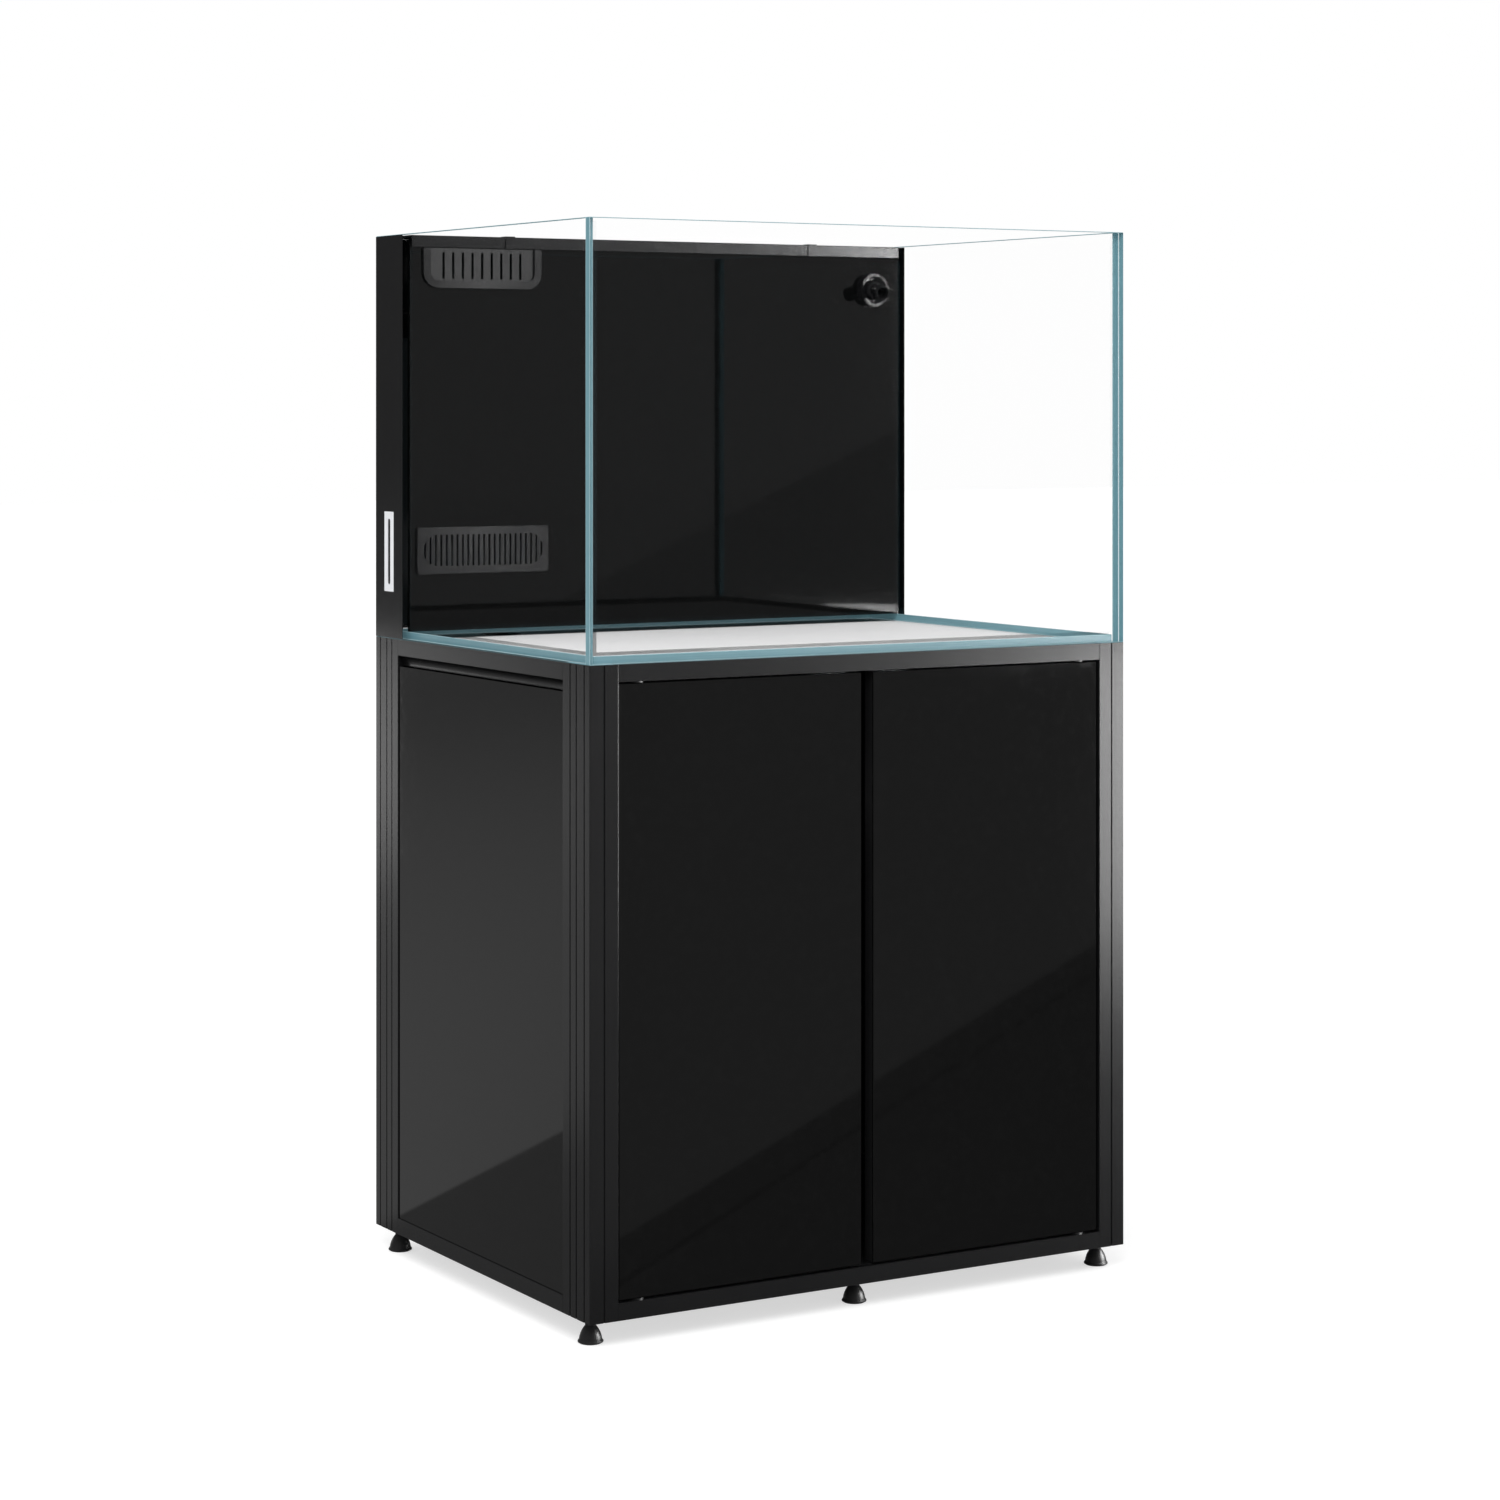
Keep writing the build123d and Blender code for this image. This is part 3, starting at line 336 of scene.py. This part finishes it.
finish = Finish("grey_painted_plate")
peel = finish.grain(0.0025, detail=1.0)
tone = finish.blend(finish.grain(0.05), linear(150, 153, 155), linear(160, 163, 165))
dress(finish.shade(tone, 0.38 + peel * 0.08, peel, 0.00004), "rear_plate")

finish = Finish("black_laminate")
leather = finish.node("ShaderNodeTexVoronoi", {"feature": "SMOOTH_F1"},
                      {"Vector": finish.place, "Scale": 700.0, "Smoothness": 0.6})
tone = finish.blend(finish.grain(0.1), linear(20, 20, 21), linear(27, 27, 28))
dress(finish.shade(tone, 0.42 + leather * 0.15, leather, 0.00006),
      "base_board", "back_panel", "left_door_core", "right_door_core")

# %% [markdown]
# ## Moulded plastics
# The comb, the grille, the outlet, the pump and the media basket are injection moulded. Their tools are
# spark eroded, which leaves an even sand-like texture. The same recipe serves the grey lid, the white
# window, the feet and the hinge bushes, with another colour and roughness each, so it is one function.
# The faces of the comb and the grille lean back a little, the draft that lets a mould leave its tool,
# so they catch a soft highlight from above. The lean is too slight to model: it is a bump added to the
# fine texture, which rises evenly with height.

# %% Moulded plastic
RELIEF = 0.00003


def moulded(name, dark, light, roughness, draft=0.0):
    finish = Finish(name)
    sand = finish.grain(0.0005, detail=2.0)
    flow = finish.grain(0.03, detail=3.0)
    tone = finish.blend(sand * 0.4 + flow * 0.6, dark, light)
    relief = sand - finish.axis("z") * (draft / RELIEF) if draft else sand
    return finish.shade(tone, roughness + sand * 0.06 + flow * 0.04, relief, RELIEF)


for cover, draft in (("overflow_comb", 0.09), ("intake_grille", 0.16)):
    dress(moulded("moulded_" + cover, linear(22, 22, 23), linear(28, 28, 29), 0.12, draft), cover)
fitting = moulded("moulded_black_fitting", linear(13, 13, 14), linear(19, 19, 20), 0.09)
dress(fitting, "return_bulkhead", "return_nut", "return_elbow", "outlet_ball", "outlet_spout")
dress(moulded("moulded_black_housing", linear(9, 9, 10), linear(15, 15, 16), 0.36),
      "return_pump", "media_basket", "hinge_bushes")
dress(moulded("moulded_grey_lid", linear(18, 18, 19), linear(24, 24, 25), 0.14),
      "chamber_lid", "lid_grips")
window = moulded("moulded_white_window", linear(236, 238, 242), linear(246, 248, 250), 0.35)
dress(window, "sight_window")
feet = [name for name in nodes if name.startswith("foot_") and name != "foot_inserts"]
dress(moulded("moulded_black_foot", linear(28, 28, 29), linear(37, 37, 38), 0.34), *feet)
dress(moulded("rubber_grommet", linear(18, 18, 18), linear(26, 26, 26), 0.6), "cable_grommets")

# %% [markdown]
# ## Steel fittings
# Magnets, brackets and the nuts in the posts are zinc-plated steel. Plating has a faint crystal pattern
# and dulls unevenly, so the roughness follows a cell pattern and a cloud. The hinge pins and strike
# plates on the doors are blackened steel instead, so that they don't shine in the gaps.

# %% Plated steel
finish = Finish("plated_steel")
crystal = finish.node("ShaderNodeTexVoronoi", {"feature": "F1"},
                      {"Vector": finish.place, "Scale": 260.0}, "Distance")
cloud = finish.grain(0.02, detail=4.0)
tone = finish.blend(cloud, linear(165, 168, 172), linear(190, 192, 194))
steel = finish.shade(tone, 0.26 + crystal * 0.1 + cloud * 0.12, crystal, 0.00002, Metallic=1.0)
dress(steel, "door_magnets", "corner_brackets", "foot_inserts")

finish = Finish("blackened_steel")
cloud = finish.grain(0.01, detail=4.0)
tone = finish.blend(cloud, linear(38, 38, 40), linear(54, 54, 57))
blackened = finish.shade(tone, 0.38 + cloud * 0.14, cloud, 0.00002, Metallic=1.0)
dress(blackened, "left_door_fittings", "right_door_fittings")

# %% [markdown]
# ## Surfaces from arrays
# The small pieces are surfaces over a grid: row i, column j holds one point, worked out for the whole
# grid at once. A skin joins neighbouring points with quads. Closing it around its columns makes a tube,
# closing it along its rows as well makes a ring, and caps shut the ends of a tube.

# %% A skin over a grid of points
def skin_faces(rows, columns, ring=False):
    """Quads between neighbours of a grid that wraps round its columns; a ring wraps its rows too."""
    row, column = np.meshgrid(np.arange(rows if ring else rows - 1), np.arange(columns), indexing="ij")
    below, beside = (row + 1) % rows, (column + 1) % columns
    corners = [row * columns + column, row * columns + beside, below * columns + beside,
               below * columns + column]
    faces = np.stack(corners, -1).reshape(-1, 4).tolist()
    if not ring:
        faces.append(list(range(columns))[::-1])
        faces.append(list(range((rows - 1) * columns, rows * columns)))
    return faces


def make_piece(name, points, faces, material, body, smooth=True):
    """New piece at the origin with its place in its mesh, riding on a body of the model."""
    mesh = bpy.data.meshes.new(name)
    mesh.from_pydata(np.asarray(points).reshape(-1, 3).tolist(), [], faces)
    mesh.polygons.foreach_set("use_smooth", np.full(len(mesh.polygons), smooth))
    mesh.materials.append(material)
    piece = bpy.data.objects.new(name, mesh)
    bpy.context.scene.collection.objects.link(piece)
    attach(piece, body)
    print(name, "has", len(mesh.polygons), "faces")
    return piece


def copies(points, faces, places):
    """The same small piece at many places: points are repeated and face numbers shifted."""
    points = np.asarray(points).reshape(-1, 3)
    spread = (points[None] + np.asarray(places)[:, None]).reshape(-1, 3)
    shifts = range(0, len(places) * len(points), len(points))
    return spread, [[corner + shift for corner in face] for shift in shifts for face in faces]


def lathe(profile, steps):
    """Turn a profile of (radius, height) round the z axis: x = r cos a, y = r sin a, z = height."""
    radius, height = np.asarray(profile, float).T
    angle = np.linspace(0, 2 * math.pi, steps, endpoint=False)[None]
    flat = np.ones_like(angle)
    return np.stack([radius[:, None] * np.cos(angle), radius[:, None] * np.sin(angle),
                     height[:, None] * flat], -1)


# %% [markdown]
# ## The floor pane
# The floor pane lies straight on the white mat. Two faces in one place confuse a ray tracer: past the
# clear one it may miss the other. So the pane is made again here with its under face a hair higher,
# 0.2 mm off the mat, and its edges 0.2 mm off the walls, where the real one has its silicone. Each
# column follows the same cross-section: up the lower arris, the edge and the upper arris. The caps are
# its under face and its top. The outline is a rectangle with tiny cut corners.

# %% Floor pane
def slab(middle, half, bottom, top, cut):
    """Flat block with cut corners and arrises: its outline shrinks by the cut at the first and last row."""
    x, y = half
    first_half = [(x, cut - y), (x, y - cut), (x - cut, y), (cut - x, y)]
    outline = np.array(first_half + [(-across, -deep) for across, deep in first_half])
    shrink = 1 - np.array([cut, 0.0, 0.0, cut])[:, None, None] / np.array(half)
    height = np.array([bottom, bottom + cut, top - cut, top])[:, None, None]
    return np.concatenate([outline * shrink + np.array(middle), height * np.ones((4, 8, 1))], -1)


gap, pane_cut = 0.0002, 0.0008
low, high = np.array(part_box("bottom_pane"))
centre, half = (low + high) / 2, (high - low) / 2 - gap
pane_points = slab(centre[:2], half[:2], low[2] + gap, high[2], pane_cut)
floor_pane = make_piece("floor_pane_glass", pane_points, skin_faces(4, 8),
                        nodes["bottom_pane"].material_slots[0].material, "aquarium", False)
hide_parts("bottom_pane")

# %% [markdown]
# ## Pads in the posts' ends
# The posts are hollow and reach up to the floor pane, so from above one would look down into them
# through the glass. A pad of the same white mat closes each end. It is the same slab as the pane, a
# little smaller than the hollow, with its top just below the post's own end.

# %% Pads in the posts' ends
post_wall, play, pad_t, pad_cut = 0.0028, 0.0003, 0.004, 0.0004
ends = [np.array(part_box(post)) for post in posts]
low, high = ends[0]
half = (high - low) / 2 - post_wall - play
pad = slab((0.0, 0.0), half[:2], high[2] - pad_t, high[2] - play, pad_cut)
places = [(low + high) / 2 * (1, 1, 0) for low, high in ends]
pad_points, pad_faces = copies(pad, skin_faces(4, 8), places)
make_piece("post_end_pads", pad_points, pad_faces, mat, "aquarium", False)

# %% [markdown]
# ## The return hose and its clamps
# A soft silicone hose runs from the pump up to the elbow. A plain pipe would look rigid: the real one
# swells a little where it is pushed over a barb and is waisted where a clamp bites. So the outer radius
# is a formula along the height: the plain radius, plus a smooth bump at each end, less a narrow dip
# under each clamp. Each clamp is a steel band with a raised screw housing.

# %% Return hose
low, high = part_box("return_hose")
hose_x, hose_y = (low[0] + high[0]) / 2, (low[1] + high[1]) / 2
hose_radius = (high[0] - low[0]) / 2
hose_wall, clamp_at = 0.003, 0.009
swelling, barb_reach = 0.0004, 0.016
bite, band_reach = 0.0005, 0.004
hose_rows, hose_columns = 90, 40
clamp_heights = (low[2] + clamp_at, high[2] - clamp_at)
height = np.linspace(low[2], high[2], hose_rows)
near = np.minimum(height - low[2], high[2] - height)
swell = -swelling + swelling * np.exp(-(near / barb_reach) ** 4)
dip = sum(bite * np.exp(-((height - at) / band_reach) ** 4) for at in clamp_heights)
outside = np.stack([hose_radius + swell - dip, height], -1)
inside = np.stack([np.full(2, hose_radius - hose_wall), height[[-1, 0]]], -1)
hose_points = lathe(np.concatenate([outside, inside]), hose_columns) + (hose_x, hose_y, 0)
finish = Finish("silicone_hose")
cloudy = finish.grain(0.01)
hose_black = finish.shade(finish.blend(cloudy, linear(30, 30, 31), linear(42, 42, 43)),
                          0.34 + cloudy * 0.1, finish.grain(0.0008), 0.00003)
hose_faces = skin_faces(hose_rows + 2, hose_columns, ring=True)
hose = make_piece("silicone_hose_wall", hose_points, hose_faces, hose_black, "aquarium")
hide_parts("return_hose")

# %% Hose clamps
def sleeve(inner, outer, half, slope, cut=0.0002):
    """Profile of six points round a short sleeve whose outer arrises are cut back over the slope."""
    return [(inner, -half), (outer - cut, -half), (outer, slope - half), (outer, half - slope),
            (outer - cut, half), (inner, half)]


band_columns, screw_columns = 48, 16
band_half_t, screw_out = 0.0005, 0.0032
clamp_places = [(hose_x, hose_y, at) for at in clamp_heights]
band = lathe(sleeve(hose_radius - band_half_t, hose_radius + band_half_t, 0.004, 0.0006), band_columns)
screw = lathe(sleeve(0.0001, 0.0036, 0.007, 0.0004), screw_columns)
screw = screw[..., [2, 0, 1]] + (0, -hose_radius - screw_out, 0)
band_points, band_faces = copies(band, skin_faces(6, band_columns, ring=True), clamp_places)
screw_points, screw_faces = copies(screw, skin_faces(6, screw_columns), clamp_places)
make_piece("hose_clamp_bands", band_points, band_faces, steel, "aquarium")
make_piece("hose_clamp_screws", screw_points, screw_faces, steel, "aquarium")

# %% [markdown]
# ## The filter foam
# The sponge is a block of open-cell foam cut to fit the basket. Its sides belly slightly between the
# cut edges, and the cells leave a pitted skin. The block is a superellipse swept upwards: a high power
# gives a rounded rectangle, the half-widths are pressed in by a few slow sine waves, and the rows at
# each end shrink towards the middle so that the ends close. The pits come from a cell pattern's bump,
# and the same pattern paints them darker than the cell walls: painted shade in the hollows.

# %% Filter foam
foam_play, squareness, press = 0.0005, 24, 0.006
end_rows, side_rows, foam_columns = 12, 90, 160
low, high = np.array(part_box("filter_sponge"))
middle, half = (low + high) / 2, (high - low) / 2 - foam_play
turn = np.linspace(0, 2 * math.pi, foam_columns, endpoint=False)[None]
flat = np.ones(end_rows)
rise = np.concatenate([-flat, np.linspace(-0.99, 0.99, side_rows), flat])[:, None]
closing = np.linspace(0.02, 0.985, end_rows)
shrink = np.concatenate([closing, np.ones(side_rows), closing[::-1]])[:, None]
cosine, sine = np.cos(turn), np.sin(turn)
square = (np.abs(cosine) ** squareness + np.abs(sine) ** squareness) ** (-1 / squareness)
belly = 1 - press * (1 + np.sin(9 * rise + 3 * turn) * np.sin(5 * turn))
reach = shrink * square * belly
foam_points = np.stack([middle[0] + half[0] * reach * cosine, middle[1] + half[1] * reach * sine,
                        middle[2] + half[2] * rise * np.ones_like(turn)], -1)
finish = Finish("filter_foam")
pores = finish.node("ShaderNodeTexVoronoi", {"feature": "F1"},
                    {"Vector": finish.place, "Scale": 520.0}, "Distance")
# the pits' bump, and their painted shade: dark in the pits, light on the cell walls
pit_relief_and_shade = pores.ramp(0.15, 0.55)
foam_black = finish.shade(finish.blend(pit_relief_and_shade, linear(16, 17, 18), linear(58, 62, 66)), 0.85 + pit_relief_and_shade * 0.1,
                          pit_relief_and_shade, 0.0009)
foam_faces = skin_faces(2 * end_rows + side_rows, foam_columns)
foam = make_piece("filter_foam_block", foam_points, foam_faces, foam_black, "aquarium")
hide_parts("filter_sponge")

# %% [markdown]
# ## Bolts and screws
# Each corner bracket is held by four button-head bolts, and the back panel by pan-head screws. A button
# head is a low dome with a hexagon socket. On the grid it is one lathe profile that runs over the dome,
# down into the socket and across its floor, where the socket's rows follow a hexagon instead of a
# circle: its radius at an angle is the flat's distance over the cosine of the angle to that flat.

# %% Button-head bolts on the brackets
HEAD_COLUMNS = 24


def button_head(radius, tall):
    """Dome outside, hexagonal socket inside; points run from the seat over the top to the floor."""
    rim = np.linspace(0, math.pi / 2, 6)
    dome = np.stack([radius * (0.55 + 0.45 * np.cos(rim)), tall * (0.25 + 0.75 * np.sin(rim))], -1)
    outer = lathe(np.concatenate([[(radius, 0.0)], dome]), HEAD_COLUMNS)
    angle = np.linspace(0, 2 * math.pi, HEAD_COLUMNS, endpoint=False)
    flat = (angle + math.pi / 6) % (math.pi / 3) - math.pi / 6
    across = radius * 0.42 / np.cos(flat)
    socket = np.stack([across * np.cos(angle), across * np.sin(angle), np.zeros(HEAD_COLUMNS)], -1)
    mouth_and_floor = np.array([tall * 0.98, tall * 0.35])[:, None, None] * (0, 0, 1)
    return np.concatenate([outer, socket + mouth_and_floor])


head = button_head(0.0048, 0.0027)
head_faces = skin_faces(len(head), HEAD_COLUMNS)
bracket_t, bracket_y, bolt_at, bolt_spread = 0.004, 0.2331, 0.025, 0.0068
low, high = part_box("corner_brackets")
wall_x = high[0]
rows_y = [side * (bracket_y + across) for side in (-1, 1) for across in (-bolt_spread, bolt_spread)]
floor_z, ceiling_z = low[2] + bracket_t, high[2] - bracket_t
flat_x = [side * (wall_x - bolt_at) for side in (-1, 1)]
up_points, up_faces = copies(head, head_faces, [(x, y, floor_z) for x in flat_x for y in rows_y])
down = head * (1, -1, -1)
down_points, down_faces = copies(down, head_faces, [(x, y, ceiling_z) for x in flat_x for y in rows_y])
make_piece("bracket_bolts_low", up_points, up_faces, steel, "aquarium")
make_piece("bracket_bolts_high", down_points, down_faces, steel, "aquarium")
heights = (low[2] + bolt_at, high[2] - bolt_at)
right = head[..., [2, 0, 1]]
left = right * (-1, -1, 1)
for name, turned, x in (("left", right, -wall_x + bracket_t), ("right", left, wall_x - bracket_t)):
    points, faces = copies(turned, head_faces, [(x, y, z) for y in rows_y for z in heights])
    make_piece("bracket_bolts_" + name, points, faces, steel, "aquarium")

# %% Pan-head screws on the back panel
screw = button_head(0.0036, 0.0016)[..., [0, 2, 1]] * (-1, 1, 1)
low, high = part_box("back_panel")
inset = 0.012
spots = [(x, high[1], z) for x in (low[0] + inset, 0.0, high[0] - inset)
         for z in (low[2] + inset, (low[2] + high[2]) / 2, high[2] - inset)]
points, faces = copies(screw, head_faces, spots)
make_piece("back_panel_screws", points, faces, steel, "aquarium")

# %% [markdown]
# ## Threads of the levelling feet
# Between the bell of each foot and the frame a short length of thread shows. A thread is a ridge that
# climbs one pitch in each turn. On the grid, the columns go once round the stem and the rows go up, and
# the radius is the core plus a triangle wave of (height minus pitch times angle).

# %% Foot threads
thread_low, thread_high, run_out = 0.0203, 0.0288, 0.0008
core, sunk, pitch, crest = 0.0062, 0.0001, 0.0015, 0.00045
columns, rows = 36, 46
angle = np.linspace(0, 2 * math.pi, columns, endpoint=False)[None]
height = np.linspace(thread_low, thread_high, rows)[:, None]
phase = (height / pitch - angle / (2 * math.pi)) % 1
fade = np.clip(np.minimum(height - thread_low, thread_high - height) / run_out, 0, 1)
radius = core - sunk + (crest + sunk) * fade * (1 - np.abs(2 * phase - 1))
ridge = np.stack([radius * np.cos(angle), radius * np.sin(angle), height * np.ones_like(angle)], -1)
for name in feet:
    low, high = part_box(name)
    centre = ((low[0] + high[0]) / 2, (low[1] + high[1]) / 2, 0)
    make_piece(name + "_thread", ridge + centre, skin_faces(rows, columns),
               nodes[name].material_slots[0].material, name + "_body")

# %% [markdown]
# ## Floor and backdrop
# The picture has a pure white background, and gloss black shows whatever stands around it. A white
# floor and sky would wash the black panels out, so light is sorted by the kind of ray that asks for it.
# A camera ray finds white. A mirror ray finds the room that the panels really reflected: a dim floor,
# darker near the cabinet, with a clear edge across it, a thin joint beside that edge, and a grey room
# behind. All other rays get an even studio light. The floor still catches the object's soft shadow.

# %% Floor
def room_level(finish):
    """How bright the floor looks in a mirror: two steps across it, one for the front, one for the side."""
    part_x, part_y, panel_x = 0.643, 0.766, -0.37
    joint_at, joint_half, joint_dark, close = 0.535, 0.006, 0.03, 0.165
    across = finish.axis("x") * part_x + finish.axis("y") * part_y
    joint = abs(across + joint_at) < joint_half
    front = across.ramp(-0.624, -0.614, 0.20, 0.105) - joint * joint_dark
    far = across.ramp(0.1, 3.5, 0.37, 0.20)
    side = close + across.ramp(0.018, 0.030) * (far - close)
    beside = finish.axis("x") < panel_x
    return front + beside * (side - front)


finish = Finish("studio_floor")
matt = finish.node("ShaderNodeBsdfDiffuse", sockets={"Color": (0.52, 0.52, 0.52)})
plain = finish.node("ShaderNodeAddShader", sockets={0: matt, 1: finish.glow(0.62 * finish.ray("Camera"))})
mirror = finish.glow(room_level(finish))
both = finish.node("ShaderNodeMixShader", sockets={0: finish.ray("Glossy"), 1: plain, 2: mirror})
finish.node_output(both)


def stage_sheet(name, corners, material):
    """Flat four-cornered sheet of the studio, which isn't part of the object."""
    mesh = bpy.data.meshes.new(name)
    mesh.from_pydata(corners, [], [(0, 1, 2, 3)])
    mesh.materials.append(material)
    sheet = bpy.data.objects.new(name, mesh)
    bpy.context.scene.collection.objects.link(sheet)
    return sheet


stage_sheet("floor", [(-30, -30, 0), (30, -30, 0), (30, 30, 0), (-30, 30, 0)], finish.material)

# %% World
world = bpy.data.worlds.new("studio")
bpy.context.scene.world = world
sky = Finish("studio", world)
seen, glossy = sky.ray("Camera"), sky.ray("Glossy")
way = sky.node("ShaderNodeTexCoord", output="Generated")
west = sky.node("ShaderNodeSeparateXYZ", sockets={0: way}, output="X").ramp(-0.35, -0.15, 0.14, 0.21)
even = 0.90
strength = even + seen * (1.0 - even) + glossy * (west - even)
background = sky.node("ShaderNodeBackground", sockets={"Color": (1, 1, 1), "Strength": strength})
sky.node_output(background, "ShaderNodeOutputWorld")
print("studio light level:", even)

# %% [markdown]
# ## Cards that only mirrors see
# A tall softbox stood to the front right, beyond what the mirror panels reflect towards the camera. The
# satin frame and the lid blur their reflections, so its light creeps in from the right as a gradient. A
# narrow strip beside it lights the right end of the front top rail. Another softbox hangs higher, above
# everything the partition shows, and lights the middle of the comb and the grille. A low card behind on
# the left brightens the rear post. The other cards are what the partition shows of the room and of the
# tank: a darker part with a slanted edge, a bright sliver low on the right, the dark backs of the
# right-hand corner and of the bottom edges, and a mat that is shaded from this side. All are seen by
# mirror rays alone.

# %% Reflection cards
def card(name, corners, level):
    finish = Finish(name)
    finish.node_output(finish.glow(level))
    sheet = stage_sheet(name, corners, finish.material)
    sheet.visible_camera = False
    sheet.visible_diffuse = False
    sheet.visible_shadow = False
    sheet.visible_transmission = False
    return sheet


def upright_card(name, start, end, bottom, top, level):
    """Standing rectangle over the floor line from start to end."""
    (x1, y1), (x2, y2) = start, end
    return card(name, [(x1, y1, bottom), (x2, y2, bottom), (x2, y2, top), (x1, y1, top)], level)


def lying_card(name, start, end, height, level):
    """Level rectangle between two corners, for what a mirror sees on the tank's floor."""
    (x1, y1), (x2, y2) = start, end
    return card(name, [(x1, y1, height), (x2, y1, height), (x2, y2, height), (x1, y2, height)], level)


upright_card("softbox_right_low", (1.95, -2.36), (3.30, -1.00), 0.0, 0.58, 16.0)
upright_card("softbox_right_high", (1.95, -2.13), (3.30, -1.00), 0.581, 2.2, 26.0)
upright_card("softbox_rail", (1.80, -2.70), (2.40, -2.70), 0.552, 0.572, 27.0)
upright_card("softbox_middle", (1.02, -2.53), (1.16, -2.47), 1.62, 2.6, 4.5)
upright_card("card_rear_left", (-1.98, 3.70), (-1.20, 4.00), 0.0, 0.52, 2.1)
upright_card("corner_back", (0.3656, -0.2885), (0.3758, -0.2885), 0.786, 1.283, 0.02)
lying_card("mat_shade", (-0.3649, -0.2768), (0.3649, 0.2070), 0.7855, 0.12)
lying_card("base_front", (-0.3649, -0.2768), (0.3649, -0.16), 0.7857, 0.03)
lying_card("base_right", (0.30, -0.2768), (0.3649, 0.2070), 0.7859, 0.03)
card("dim_corner", [(0.251, -0.60, 0.757), (0.95, -0.60, 0.757), (0.95, -0.60, 1.049),
                    (0.60, -0.60, 0.9026)], 0.15)
card("bright_sliver", [(0.734, -0.59, 0.746), (0.8913, -0.59, 0.7274), (0.8913, -0.59, 0.7413),
                       (0.80, -0.59, 0.7445)], 3.6)

# %% [markdown]
# ## Lamps
# Most light is the even studio light of the world. One large area lamp from the upper left gives the
# soft shadows a direction, and stays out of mirrors, where the cards take its place.

# %% Key lamp
lamp = bpy.data.lights.new("key", "AREA")
lamp.shape = "DISK"
lamp.size = 2.4
lamp.energy = 80.0
key = bpy.data.objects.new("key", lamp)
key.location = (-1.8, -2.4, 3.2)
key.rotation_euler = (math.radians(42), 0.0, math.radians(-37))
key.visible_glossy = False
bpy.context.scene.collection.objects.link(key)
